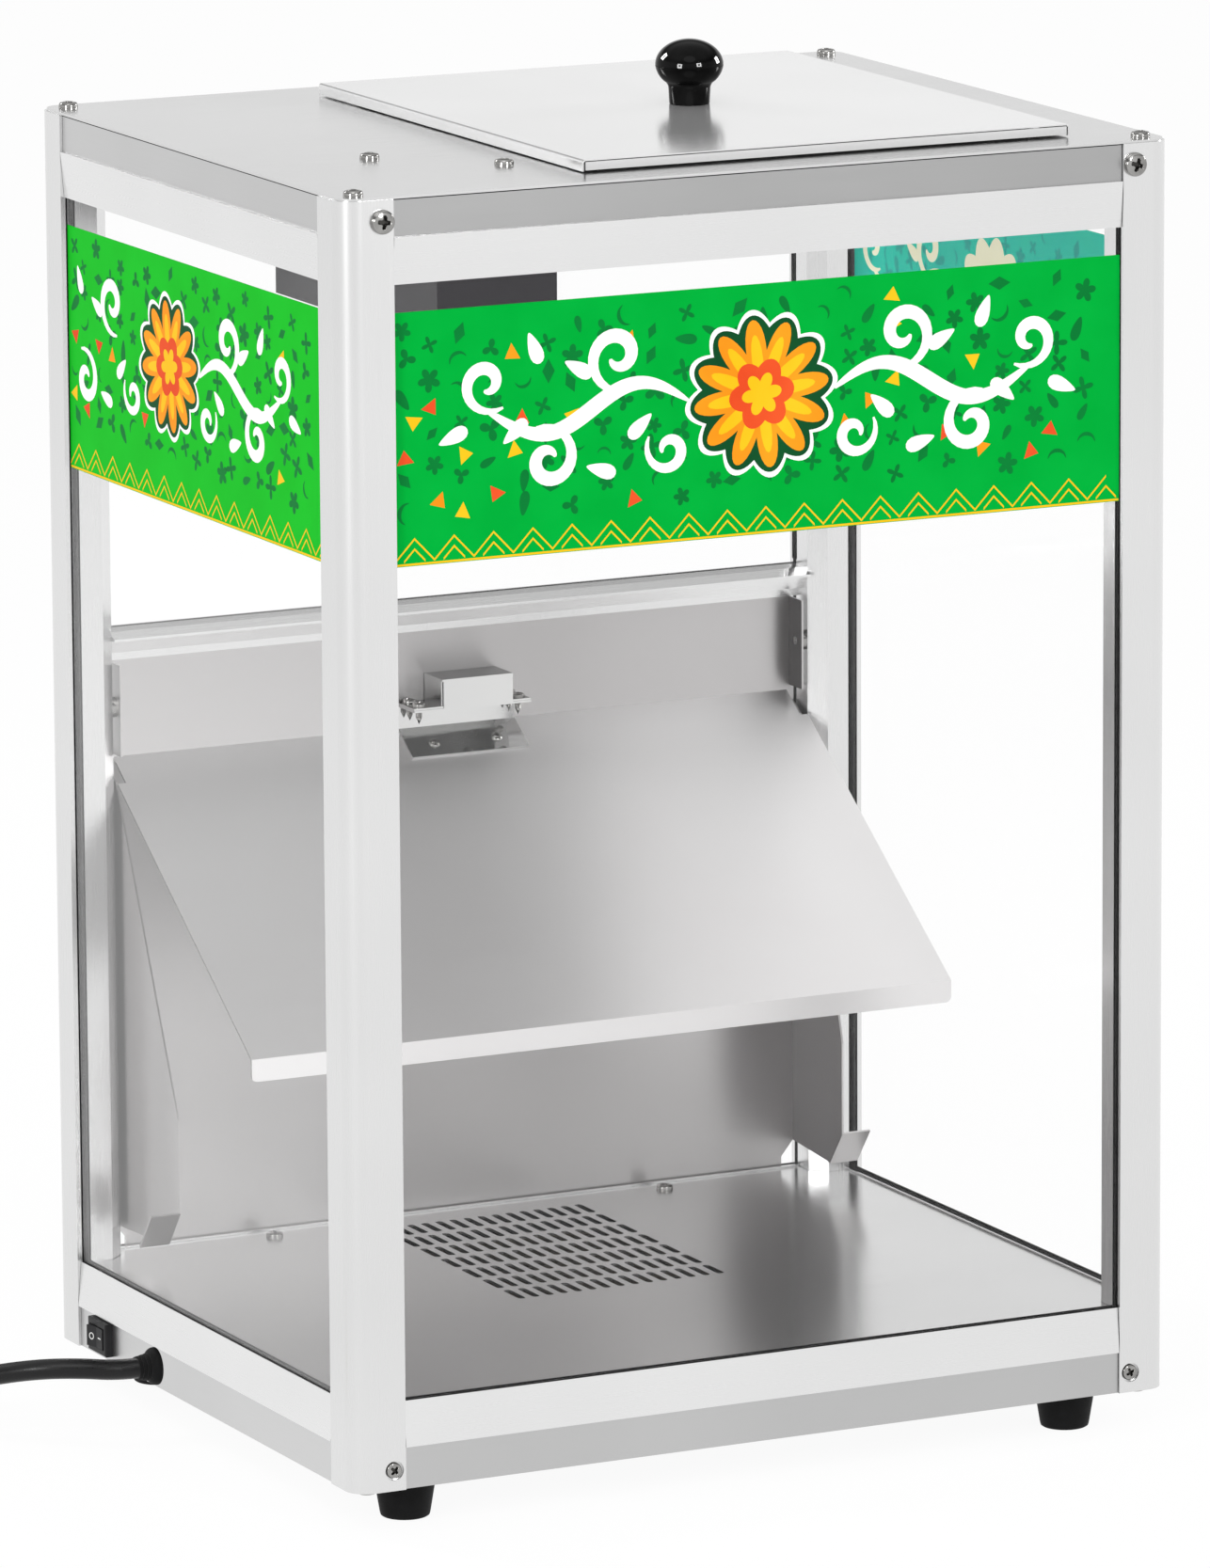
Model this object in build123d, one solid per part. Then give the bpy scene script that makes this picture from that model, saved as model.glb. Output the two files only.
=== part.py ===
from build123d import *
import os
from math import atan2, cos, degrees, pi, radians, sin, sqrt, tan

# Counter-top chip warmer, in millimetres.
# While it is built, the frame's middle stands at x = y = 0 and z = 0 is the underside of the corner posts.
# X runs along the wide front face, the front faces -Y, and Z is up.

# ---------------------------------------------------------------- driving dimensions
body_width = 430.0            # outside of the posts, left to right
body_depth = 345.0            # outside of the posts, front to rear
post_height = 605.0
running_gap = 0.3             # between pieces that move past each other
slip_gap = 0.4                # room round a loose-fitting piece

post_size = 26.2
post_corner_radius = 10.4
post_bevel = 7.6
post_wall = 1.8
post_port_inset = 11.2        # screw port for the end screws, from both outer faces
post_port_radius = 2.1

glass_inset = 3.4             # outer face of the glass, behind the frame's outer face
glass_thickness = 3.0
groove_depth = 8.0
groove_side_play = 0.4
groove_end_play = 0.4

rail_depth = 24.0
lower_band_height = 20.1      # recessed band of the bottom rails
upper_band_height = 17.0      # recessed band of the top rails
band_recess = 1.5
slope_band_height = 22.0      # sloping band beside the glass
slope_recess = 1.8
rail_wall = 1.6
ledge_drop = 2.2              # floor ledge, below the rail's lips
inner_lip_wall = 1.8
rail_port_depth = 20.3        # screw port in the rail's end, behind the outer face
rail_port_rise = 9.7          # and in from the rail's outer edge
rail_port_radius = 2.1
top_panel_seat = 0.2          # top rails end this far under the post tops

mid_rail_top = 350.6
mid_rail_height = 16.0
mid_rail_reach = 22.5         # from the rear face to the front lip
mid_rail_lip = 1.2
mid_rail_groove = 6.5         # depth of its glass groove
slot_play = 0.3               # on each side of the chute's back wall, in the mid rail

banner_drop = 52.8            # from the posts' tops to the banners' upper edges
banner_height = 117.6
banner_thickness = 0.3

panel_thickness = 1.2
panel_inset = 1.1
hatch_left_margin = 147.0      # from the body's left side to the hatch
hatch_right_margin = 54.0
hatch_front_margin = 38.5
hatch_rear_margin = 42.5
hatch_flange = 7.0

lid_overlap = 12.7
lid_height = 5.8
lid_sheet = 1.0
lid_tray_drop = 9.0
lid_tray_play = 1.5           # between the tray and the hatch's edge
lid_access_radius = 6.5       # hole in the tray under the knob's screw
knob_height = 31.5
knob_head_radius = 17.5
knob_girth_height = 18.6
knob_foot_radius = 10.4
knob_neck_radius = 11.1       # at the top of the neck
knob_neck_height = 8.0
knob_flare_radius = 13.4      # where the neck has turned into the head
knob_flare_height = 11.0
knob_bore_depth = 22.0
knob_screw_radius = 2.4
knob_screw_length = 18.0

lamp_box_width = 61.0
lamp_box_depth = 178.0
lamp_box_height = 74.0
lamp_box_left_inset = 60.5     # from the body's left side
lamp_box_front_inset = 27.5
lamp_box_sheet = 1.0
lamp_screw_offsets = ((6.7, 86.2), (53.9, 40.5))     # from the box's front left corner
bulb_radius = 13.0
bulb_length = 104.0
bulb_play = 0.6               # round the bulb, in its socket
socket_length = 38.0
socket_radius = 16.0
socket_bore_depth = 14.0

chute_sheet = 1.0
chute_side_play = 1.1         # between the chute and each post
chute_angle = 34.75
chute_run = 168.1             # from the back wall's front face forward to the lip
chute_front_z = 170.0
chute_lip = 11.0
chute_lip_rounding = 3.0      # radius on the lower corners of the front lip
chute_wall_inset = 6.2        # of the back wall's front face, from the body's rear
chute_tuck = 7.0              # how far the back wall goes up into the mid rail
chute_flange_inset = 3.2      # of the side flanges' outer faces, from the posts
chute_flange_reach = 14.3
chute_flange_foot = 2.4
chute_notch_drop = 30.0       # the corner notches start this far below the bend
chute_screw_side_inset = 47.7
chute_screw_inner_x = 50.0
chute_screw_rise = 3.6        # above the mid rail's lower edge
chute_screw_radius = 1.5
chute_head_radius = 3.0
chute_head_height = 1.9
chute_spacer_radius = 5.0
chute_spacer_inset = 7.2      # in front of the back wall
chute_spacer_rise = 26.0      # above the bend

catch_width = 63.4
catch_reach = 20.4
catch_sheet = 1.0
catch_drop = 36.9             # of the bracket's top leg, below the mid rail
catch_box_width = 38.4
catch_box_height = 14.4
catch_box_shift = 2.5
catch_foot_reach = 21.0
magnet_width = 30.0
magnet_height = 11.2
magnet_length = 14.0
catch_rivet_xs = (-17.0, 17.0)
catch_rivet_inset = 11.0      # in front of the chute's back wall
rivet_radius = 1.5
rivet_head_radius = 2.9
catch_screw_x = 26.9
catch_screw_insets = (4.6, 15.0)
catch_screw_radius = 1.7
catch_web_gap = 0.4           # between the bracket's web and the chute's back wall

door_sheet = 1.0
door_side_play = 0.9          # between the door and each post
door_inset = 4.9              # of the door's inner face, from the body's rear
door_groove_entry = 0.8       # the door's lower edge stands this deep in the rear rail's empty glass groove
door_top_drop = 12.6          # below the mid rail
door_toe_in = 0.10            # the cheeks lean inwards by this much per millimetre of reach
cheek_reach = 67.4
cheek_bottom_z = 54.5
cheek_fold_z = 72.0
cheek_fold_run = 14.0
cheek_shoulder_z = 118.5
tab_width = 15.8
corner_notch = 7.6            # the panel's lower corners are cut away by this much
notch_slant = 8.0             # height of the notch's slanting edge
door_knob_drop = 72.6         # below the mid rail
hinge_inset = 1.3             # of the hinge's axis, from the body's rear
hinge_z = 45.3
hinge_pin_radius = 1.1
hinge_knuckle_radius = 2.3
hinge_end_inset = 19.9        # from the door's side edges
hinge_knuckles = 9
hinge_leaf_height = 17.0
hinge_sheet = 1.0

floor_thickness = 1.2
floor_edge_play = 0.3
grille_columns = 15
grille_rows = 7
grille_column_pitch = 7.65
grille_row_pitch = 23.6
slot_length = 18.6
slot_width = 3.8
grille_inset = 109.5          # of the grille's middle, from the body's rear
floor_screw_x = 107.0
floor_screw_inset = 20.0      # from the body's rear
floor_screw_radius = 2.0
floor_screw_length = 8.0      # below the plate

pan_thickness = 1.2
pan_play = 0.3
pan_flange = 20.0
pan_flange_end_x = 65.0       # the flanges end this far inside the body's sides
pan_flange_end_y = 67.5
vent_length = 30.0
vent_width = 4.0
vent_offset = 20.0
vent_pitch = 9.0
vent_rows = 9

fan_size = 92.0
fan_height = 25.0
fan_bore_radius = 43.5
fan_hub_radius = 18.0
fan_blades = 7
fan_tip_gap = 1.5
fan_cup_height = 3.2
fan_axial_gap = 0.6
fan_top_gap = 1.8
fan_spindle_radius = 2.0
fan_spindle_reach = 9.0
heater_tube_radius = 3.2
heater_z = 33.5
heater_half_width = 41.0
heater_pitch = 21.0
heater_passes = 6
heater_leg_x = 52.0

foot_top_radius = 15.0
foot_bottom_radius = 11.6
foot_height = 20.8
foot_inset_x = 39.7
foot_inset_y = 30.5

pan_head_radius = 5.7
pan_head_height = 3.3
small_head_radius = 3.9
small_head_height = 2.4
end_head_radius = 4.6         # screws in the posts' ends, above and below
end_head_height = 3.0
end_shank_length = 16.0
lamp_shank_length = 9.0
bracket_leg = 24.0
bracket_width = 12.0
bracket_thickness = 2.0
lower_bracket_z = 5.0
upper_bracket_drop = 19.0
counterbore_radius = 4.7
counterbore_depth = 2.0
recess_width = 1.1            # of the cross in a screw's head
thread_play = 0.15            # round a screw's shank where it threads in
hole_play = 0.25              # round a screw's shank where it passes through
cut_over = 1.0                # cutters run this far past the faces that they open

switch_inset = 53.5           # from the body's rear
switch_z = 11.0
switch_width = 21.0
switch_bezel_height = 16.4
switch_proud = 4.0
switch_body_width = 18.6
switch_body_height = 12.4
switch_body_depth = 20.0
rocker_width = 15.8
rocker_height = 10.2
rocker_tilt = 8.0
rocker_taper = 0.9

bush_inset = 115.2            # from the body's rear
bush_z = 10.0
bush_flange_radius = 9.15
bush_neck_radius = 7.6
bush_proud = 4.0

cord_diameter = 10.0
coil_turns = 2.25             # in each of the two layers
coil_outer_radius = 55.4
coil_pitch = 10.6             # from one turn to the next, sideways and upwards
coil_out = 193.9              # of the coil's centre from the left rail's band
coil_aside = 108.2            # and from the bush, towards the rear
coil_start_angle = radians(20.0)
coil_entry_run = 24.0         # the cord is straight for this long before its first turn
coil_lift = 1.3               # the tie's strap lies under the coil
tie_thickness = 1.1
tie_width = 14.0
plug_radius = 16.3
plug_length = 26.0
plug_shoulder = 15.0
plug_boot_length = 26.0
plug_blade_width = 6.3
plug_blade_thickness = 1.5
plug_blade_spacing = 12.7
plug_blade_length = 17.5
plug_earth_radius = 2.4
plug_earth_length = 20.5
plug_earth_offset = 11.9      # from the line between the blades
plug_pin_socket = 8.0
plug_lead_length = 62.0

# ---------------------------------------------------------------- values worked out from them
half_x = body_width / 2
half_y = body_depth / 2
post_in_x = half_x - post_size          # inner faces of the posts
post_in_y = half_y - post_size
groove_start = glass_inset - groove_side_play / 2
groove_width = glass_thickness + groove_side_play
floor_level = -foot_height
top_rail_top = post_height - top_panel_seat
lower_rail_height = lower_band_height + slope_band_height
upper_rail_height = upper_band_height + slope_band_height
ledge_height = lower_rail_height - ledge_drop
glass_bottom = lower_rail_height - groove_depth + groove_end_play
glass_top = top_rail_top - upper_rail_height + groove_depth - groove_end_play
glass_half_x = half_x - post_size + groove_depth - groove_end_play
glass_half_y = half_y - post_size + groove_depth - groove_end_play
panel_top = post_height + panel_thickness
floor_top = ledge_height + floor_thickness
floor_screw_y = half_y - floor_screw_inset
hatch_width = body_width - hatch_left_margin - hatch_right_margin
hatch_depth = body_depth - hatch_front_margin - hatch_rear_margin
hatch_centre_x = (hatch_left_margin - hatch_right_margin) / 2
hatch_centre_y = (hatch_front_margin - hatch_rear_margin) / 2
lamp_box_left = -half_x + lamp_box_left_inset
lamp_box_front = -half_y + lamp_box_front_inset
lamp_screw_places = [(lamp_box_left + x, lamp_box_front + y) for x, y in lamp_screw_offsets]
chute_half_width = post_in_x - chute_side_play
chute_flange_x = post_in_x - chute_flange_inset
chute_wall_y = half_y - chute_wall_inset
chute_front_y = chute_wall_y - chute_run
chute_screw_outer_x = chute_half_width - chute_screw_side_inset
chute_screw_xs = (-chute_screw_outer_x, -chute_screw_inner_x, chute_screw_inner_x, chute_screw_outer_x)
door_half_width = post_in_x - door_side_play
door_inner_y = half_y - door_inset
hinge_y = half_y - hinge_inset
hinge_half_length = door_half_width - hinge_end_inset
foot_x = half_x - foot_inset_x
foot_y = half_y - foot_inset_y
switch_y = half_y - switch_inset
bush_y = half_y - bush_inset
chute_slope = tan(radians(chute_angle))
chute_bend_z = chute_front_z + (chute_wall_y - chute_front_y) * chute_slope
mid_rail_bottom = mid_rail_top - mid_rail_height
banner_top = post_height - banner_drop
catch_top_z = mid_rail_bottom - catch_drop
door_bottom_z = lower_rail_height - door_groove_entry
door_top_z = mid_rail_bottom - door_top_drop
door_knob_z = mid_rail_bottom - door_knob_drop
grille_centre_y = half_y - grille_inset
lid_half_x = hatch_width / 2 + lid_overlap
lid_half_y = hatch_depth / 2 + lid_overlap
corners = [(-1, -1), (1, -1), (-1, 1), (1, 1)]


def block(x0, x1, y0, y1, z0, z1):
    """A box between two corners."""
    return Pos((x0 + x1) / 2, (y0 + y1) / 2, (z0 + z1) / 2) * Box(abs(x1 - x0), abs(y1 - y0), abs(z1 - z0))


def prism(points, plane, depth):
    """A closed outline on a plane, pushed along the plane's normal."""
    outline = make_face(plane * Polyline(*points, close=True))
    return extrude(outline, amount=depth, dir=plane.z_dir)


def prism_x(yz_points, x0, x1):
    return prism(yz_points, Plane(origin=(x0, 0, 0), x_dir=(0, 1, 0), z_dir=(1, 0, 0)), x1 - x0)


def prism_z(xy_points, z0, z1):
    return prism(xy_points, Plane(origin=(0, 0, z0)), z1 - z0)


def rod(start, direction, radius, length):
    """A cylinder from a point along a direction."""
    return Plane(origin=start, z_dir=direction).location * Cylinder(
        radius, length, align=(Align.CENTER, Align.CENTER, Align.MIN))


def pan_screw(seat, outward, head_radius, head_height, shank_radius, shank_length, point=0.0):
    """A cross-recessed pan-head screw whose head stands on the seat."""
    head = Cylinder(head_radius, head_height, align=(Align.CENTER, Align.CENTER, Align.MIN))
    head = fillet(head.edges().group_by(Axis.Z)[-1], head_height * 0.6)
    arm = head_radius * 0.55
    cross = Box(2 * arm, recess_width, head_height) + Box(recess_width, 2 * arm, head_height)
    recess = Pos(0, 0, head_height) * cross
    shank = Cylinder(shank_radius, shank_length, align=(Align.CENTER, Align.CENTER, Align.MAX))
    screw = (head - recess) + shank
    if point > 0:
        screw = screw + Pos(0, 0, -shank_length - point / 2) * Cone(0.2, shank_radius, point)
    return Plane(origin=seat, z_dir=outward).location * screw


def mirrored_x(shape):
    return mirror(shape, about=Plane.YZ)


def mirrored_y(shape):
    return mirror(shape, about=Plane.XZ)


def group(*shapes):
    """Separate solids that share one node."""
    solids = []
    for shape in shapes:
        solids.extend(shape.solids())
    return Compound(children=solids)


# ---------------------------------------------------------------- posts
def front_left_post():
    s = post_size
    g0 = groove_start
    g1 = groove_start + groove_width
    gd = s - groove_depth
    b = s - post_bevel
    r = post_corner_radius
    outline = Line((r, 0), (s, 0))
    corners = [(s, 0), (s, g0), (gd, g0), (gd, g1), (s, g1), (s, b), (b, s),
               (g1, s), (g1, gd), (g0, gd), (g0, s), (0, s), (0, r)]
    outline = outline + Polyline(*corners)
    outline = outline + RadiusArc((0, r), (r, 0), -r)
    section = make_face(outline)
    wall = post_wall
    inner = g1 + wall
    block_edge = post_port_inset + post_port_radius + post_wall
    void_points = [(block_edge, inner), (s - wall, inner), (s - wall, b - wall * 0.42),
                   (b - wall * 0.42, s - wall), (inner, s - wall), (inner, block_edge),
                   (block_edge, block_edge)]
    section = section - make_face(Polyline(*void_points, close=True))
    section = section - Pos(post_port_inset, post_port_inset) * Circle(post_port_radius)
    post = extrude(section, amount=post_height, dir=(0, 0, 1))
    return Pos(-half_x, -half_y, 0) * post


post_screw_x = half_x - rail_port_depth
upper_screw_z = top_rail_top - rail_port_rise
lower_screw_z = rail_port_rise
long_shank_radius = rail_port_radius - thread_play
long_shank_length = post_size + 12.0


def drilled_post():
    """The corner post with its screw holes, as it stands at the front left."""
    post = front_left_post()
    hole_radius = long_shank_radius + hole_play
    for z in (upper_screw_z, lower_screw_z):
        hole = rod((-post_screw_x, -half_y - cut_over, z), (0, 1, 0), hole_radius, post_size + 2 * cut_over)
        post = post - hole
    post = post - rod((-post_screw_x, -half_y - cut_over, lower_screw_z), (0, 1, 0), counterbore_radius,
                      counterbore_depth + cut_over)
    return post


# ---------------------------------------------------------------- rails
def rail_section(band_height):
    """Rail profile: first number is depth behind the outer face, second is height from the outer edge."""
    top = band_height + slope_band_height
    g0 = groove_start
    g1 = groove_start + groove_width
    ledge = top - ledge_drop
    points = [(band_recess, 0), (rail_depth, 0), (rail_depth, ledge), (g1 + inner_lip_wall, ledge),
              (g1 + inner_lip_wall, top), (g1, top), (g1, top - groove_depth), (g0, top - groove_depth),
              (g0, top),
              (slope_recess, top), (0, band_height + 0.5), (0, band_height), (band_recess, band_height)]
    w = rail_wall
    rib = rail_port_depth - rail_port_radius - w
    front_void = [(band_recess + w, w), (rib - w, w), (rib - w, top - groove_depth - w),
                  (slope_recess + w, top - groove_depth - w), (w + 0.4, band_height + w),
                  (band_recess + w, band_height + w)]
    shelf = rail_port_rise + rail_port_radius + w
    rear_void = [(rib, shelf), (rail_depth - w, shelf), (rail_depth - w, ledge - w), (rib, ledge - w)]
    return points, front_void, rear_void


def rail(band_height, half_length):
    """A rail along X with its outer face towards -Y and its outer edge at z = 0, as at the bottom front."""
    points, front_void, rear_void = rail_section(band_height)
    bar = prism_x(points, -half_length, half_length)
    bar = bar - prism_x(front_void, -half_length - cut_over, half_length + cut_over)
    bar = bar - prism_x(rear_void, -half_length - cut_over, half_length + cut_over)
    port_start = (-half_length - cut_over, rail_port_depth, rail_port_rise)
    port = rod(port_start, (1, 0, 0), rail_port_radius, 2 * (half_length + cut_over))
    return bar - port


def place_rails(band_height, upside_down):
    """Front, rear, left and right rails of one storey."""
    long_rail = rail(band_height, post_in_x)
    short_rail = rail(band_height, post_in_y)
    if upside_down:
        long_rail = Pos(0, 0, top_rail_top) * mirror(long_rail, about=Plane.XY)
        short_rail = Pos(0, 0, top_rail_top) * mirror(short_rail, about=Plane.XY)
    front = Pos(0, -half_y, 0) * long_rail
    left = Pos(-half_x, 0, 0) * (Rot(0, 0, -90) * short_rail)
    return front, mirrored_y(front), left, mirrored_x(left)


# ---------------------------------------------------------------- top
def top_panel_plate():
    width = body_width - 2 * panel_inset
    depth = body_depth - 2 * panel_inset
    sheet = Pos(0, 0, post_height + panel_thickness / 2) * Box(width, depth, panel_thickness)
    sheet = fillet(sheet.edges().filter_by(Axis.Z), post_corner_radius - panel_inset)
    x0 = hatch_centre_x - hatch_width / 2
    x1 = hatch_centre_x + hatch_width / 2
    y0 = hatch_centre_y - hatch_depth / 2
    y1 = hatch_centre_y + hatch_depth / 2
    t = panel_thickness
    foot = post_height - hatch_flange
    sheet = sheet + block(x0 - t, x1 + t, y0 - t, y1 + t, foot, post_height)
    sheet = sheet - block(x0, x1, y0, y1, foot - 1, panel_top + 1)
    for x, y in corner_screw_places + list(lamp_screw_places):
        sheet = sheet - rod((x, y, post_height - 1), (0, 0, 1), post_port_radius, panel_thickness + 2)
    return sheet


corner_screw_places = [
    (sx * (half_x - post_port_inset), sy * (half_y - post_port_inset)) for sx, sy in corners]


def lamp_box():
    """Inverted sheet tray under the top panel, open downwards."""
    t = lamp_box_sheet
    x0 = lamp_box_left
    x1 = lamp_box_left + lamp_box_width
    y0 = lamp_box_front
    y1 = lamp_box_front + lamp_box_depth
    z1 = post_height
    z0 = z1 - lamp_box_height
    tray = block(x0, x1, y0, y1, z0, z1) - block(x0 + t, x1 - t, y0 + t, y1 - t, z0 - 1, z1 - t)
    for x, y in lamp_screw_places:
        tray = tray - rod((x, y, z1 - 2), (0, 0, 1), post_port_radius, 3)
    return tray


bulb_x = lamp_box_left + lamp_box_width / 2
bulb_z = post_height - lamp_box_height * 0.55

def lamp_socket_piece():
    y1 = lamp_box_front + lamp_box_depth - lamp_box_sheet
    cup = rod((bulb_x, y1, bulb_z), (0, -1, 0), socket_radius, socket_length)
    bore_start = (bulb_x, y1 - socket_length + socket_bore_depth, bulb_z)
    return cup - rod(bore_start, (0, -1, 0), bulb_radius + bulb_play, socket_bore_depth + cut_over)


def lamp_bulb_piece():
    y1 = lamp_box_front + lamp_box_depth - lamp_box_sheet - socket_length + socket_bore_depth - running_gap
    tube = rod((bulb_x, y1, bulb_z), (0, -1, 0), bulb_radius, bulb_length)
    return fillet(tube.edges().group_by(Axis.Y)[0], bulb_radius * 0.9)


# ---------------------------------------------------------------- lid
lid_base_z = panel_top + running_gap


def lid_skin_piece():
    place = Pos(hatch_centre_x, hatch_centre_y, lid_base_z + lid_height / 2)
    t = lid_sheet
    outer = Box(2 * lid_half_x, 2 * lid_half_y, lid_height)
    outer = fillet(outer.edges().group_by(Axis.Z)[-1], 0.8)
    hollow = Pos(0, 0, -t) * Box(2 * (lid_half_x - t), 2 * (lid_half_y - t), lid_height)
    hole = Cylinder(knob_screw_radius + hole_play, 2 * lid_height)
    return place * (outer - hollow - hole)


def lid_tray_piece():
    t = lid_sheet
    wide = hatch_width - 2 * lid_tray_play
    deep = hatch_depth - 2 * lid_tray_play
    z1 = lid_base_z + lid_height - lid_sheet
    tall = lid_tray_drop + lid_height - lid_sheet
    tray = Box(wide, deep, tall) - Pos(0, 0, t) * Box(wide - 2 * t, deep - 2 * t, tall)
    tray = tray - Pos(0, 0, -tall / 2) * Cylinder(lid_access_radius, 4 * t)
    return Pos(hatch_centre_x, hatch_centre_y, z1 - tall / 2) * tray


def knob_solid():
    """Glossy round-headed knob standing on z = 0, with a blind hole for its screw."""
    h = knob_height
    head = (knob_head_radius, knob_girth_height)
    neck = (knob_neck_radius, knob_neck_height)
    flare = (knob_flare_radius, knob_flare_height)
    bore = knob_screw_radius + thread_play
    hollow = (neck[0] + (flare[0] - neck[0]) * 0.33, neck[1] + (flare[1] - neck[1]) * 0.58)
    belly = (flare[0] + (head[0] - flare[0]) * 0.66, flare[1] + (head[1] - flare[1]) * 0.44)
    outline = Polyline((bore, 0), (knob_foot_radius, 0), neck)
    outline = outline + ThreePointArc(neck, hollow, flare)
    outline = outline + ThreePointArc(flare, belly, head)
    outline = outline + TangentArc((0, h), head, tangent=(1, 0))
    outline = outline + Polyline((0, h), (0, knob_bore_depth), (bore, knob_bore_depth), (bore, 0))
    return revolve(make_face(Plane.XZ * outline), axis=Axis.Z)


def knob_screw(seat, outward, grip):
    """Screw whose head lies against the sheet's back and whose shank goes out through it into the knob."""
    away = tuple(-c for c in outward)
    return pan_screw(seat, away, 5.2, 3.0, knob_screw_radius, grip)


# ---------------------------------------------------------------- rear mid rail
def mid_rail_piece():
    front = half_y - mid_rail_reach
    g0 = half_y - groove_start - groove_width
    g1 = half_y - groove_start
    top = mid_rail_top
    low = mid_rail_bottom
    slot0 = chute_wall_y - slot_play
    slot1 = chute_wall_y + chute_sheet + slot_play
    lip_top = top - 3.2
    groove_foot = top - mid_rail_groove
    points = [(front, lip_top - mid_rail_lip), (front, lip_top), (front + 8.5, top - 0.9), (g0, top),
              (g0, groove_foot), (g1, groove_foot), (g1, top), (half_y - slope_recess, top),
              (half_y, top - 10), (half_y, low), (slot1, low), (slot1, low + chute_tuck + slot_play),
              (slot0, low + chute_tuck + slot_play), (slot0, low), (slot0 - 2, low),
              (slot0 - 2.4, low + 3.8),
              (front + 9, low + 4.6), (front + 6.6, lip_top - mid_rail_lip - 0.4)]
    bar = prism_x(points, -post_in_x, post_in_x)
    for x in chute_screw_xs:
        hole = rod((x, half_y + cut_over, chute_screw_z), (0, -1, 0), chute_screw_radius + hole_play,
                   half_y - slot0 + 2 * cut_over + 1)
        bar = bar - hole
    return bar


chute_screw_z = mid_rail_bottom + chute_screw_rise


# ---------------------------------------------------------------- chute
def chute_piece():
    """One bent sheet: upright back wall, slope and turned-down front lip."""
    t = chute_sheet
    wy = chute_wall_y
    slope_down = t / cos(radians(chute_angle))
    z_back = chute_bend_z + t * chute_slope
    tuck_z = mid_rail_bottom + chute_tuck
    fy = chute_front_y
    fz = chute_front_z
    points = [(wy, tuck_z), (wy, chute_bend_z), (fy, fz), (fy, fz - chute_lip), (fy + t, fz - chute_lip),
              (fy + t, fz + t * chute_slope - slope_down), (wy + t, z_back - slope_down), (wy + t, tuck_z)]
    sheet = prism_x(points, -chute_half_width, chute_half_width)
    lip_corners = sheet.edges().group_by(Axis.Z)[0].filter_by(Axis.X, reverse=True)
    sheet = fillet(lip_corners, chute_lip_rounding)
    narrow = chute_flange_x
    for side in (-1, 1):
        notch = block(side * narrow, side * (chute_half_width + 1), wy - chute_flange_reach - 0.6, wy + 5,
                      chute_bend_z - chute_notch_drop, tuck_z + 5)
        sheet = sheet - notch
        flange = block(side * (narrow - t), side * narrow, wy - chute_flange_reach, wy + t,
                       chute_bend_z + chute_flange_foot, mid_rail_bottom - 0.6)
        sheet = sheet + flange
        gap = block(side * (narrow - t - 1.2), side * (narrow + 1), wy - chute_flange_reach - 0.6, wy - 0.01,
                    chute_bend_z - chute_notch_drop, chute_bend_z + chute_flange_foot)
        sheet = sheet - gap
        sheet = sheet - rod((side * (narrow - 3), spacer_y, spacer_z), (side, 0, 0), 2.0, 6)
    wide = magnet_width / 2 + slip_gap
    tall = magnet_height / 2 + slip_gap
    window = block(catch_box_shift - wide, catch_box_shift + wide, wy - cut_over, wy + t + cut_over,
                   magnet_z - tall, magnet_z + tall)
    sheet = sheet - window
    for x in chute_screw_xs:
        start = (x, wy - cut_over, chute_screw_z)
        sheet = sheet - rod(start, (0, 1, 0), chute_screw_radius + hole_play, t + 2 * cut_over)
    for x in catch_rivet_xs:
        sheet = sheet - slope_pin(x, catch_rivet_y, rivet_hole_radius, t + 2 * cut_over, -t - cut_over)
    return sheet


spacer_y = chute_wall_y - chute_spacer_inset
spacer_z = chute_bend_z + chute_spacer_rise
magnet_z = catch_top_z + catch_sheet + magnet_height / 2
catch_rivet_y = chute_wall_y - catch_rivet_inset
rivet_hole_radius = rivet_radius + slip_gap / 2
catch_hole_radius = catch_screw_radius + thread_play
slope_normal = (0, -sin(radians(chute_angle)), cos(radians(chute_angle)))


def slope_z(y):
    """Height of the chute's upper face."""
    return chute_front_z + (y - chute_front_y) * chute_slope


def slope_pin(x, y, radius, length, start):
    """A cylinder square to the slope; start is measured from the upper face along the normal."""
    foot = (x, y + slope_normal[1] * start, slope_z(y) + slope_normal[2] * start)
    return rod(foot, slope_normal, radius, length)


def chute_fixings_group():
    pieces = []
    for side in (-1, 1):
        start = (side * chute_flange_x, spacer_y, spacer_z)
        pieces.append(rod(start, (side, 0, 0), chute_spacer_radius, post_in_x - chute_flange_x))
    for x in chute_screw_xs:
        length = half_y - chute_wall_y
        pieces.append(pan_screw((x, half_y, chute_screw_z), (0, 1, 0), chute_head_radius, chute_head_height,
                                chute_screw_radius, length))
    return group(*pieces)


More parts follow.
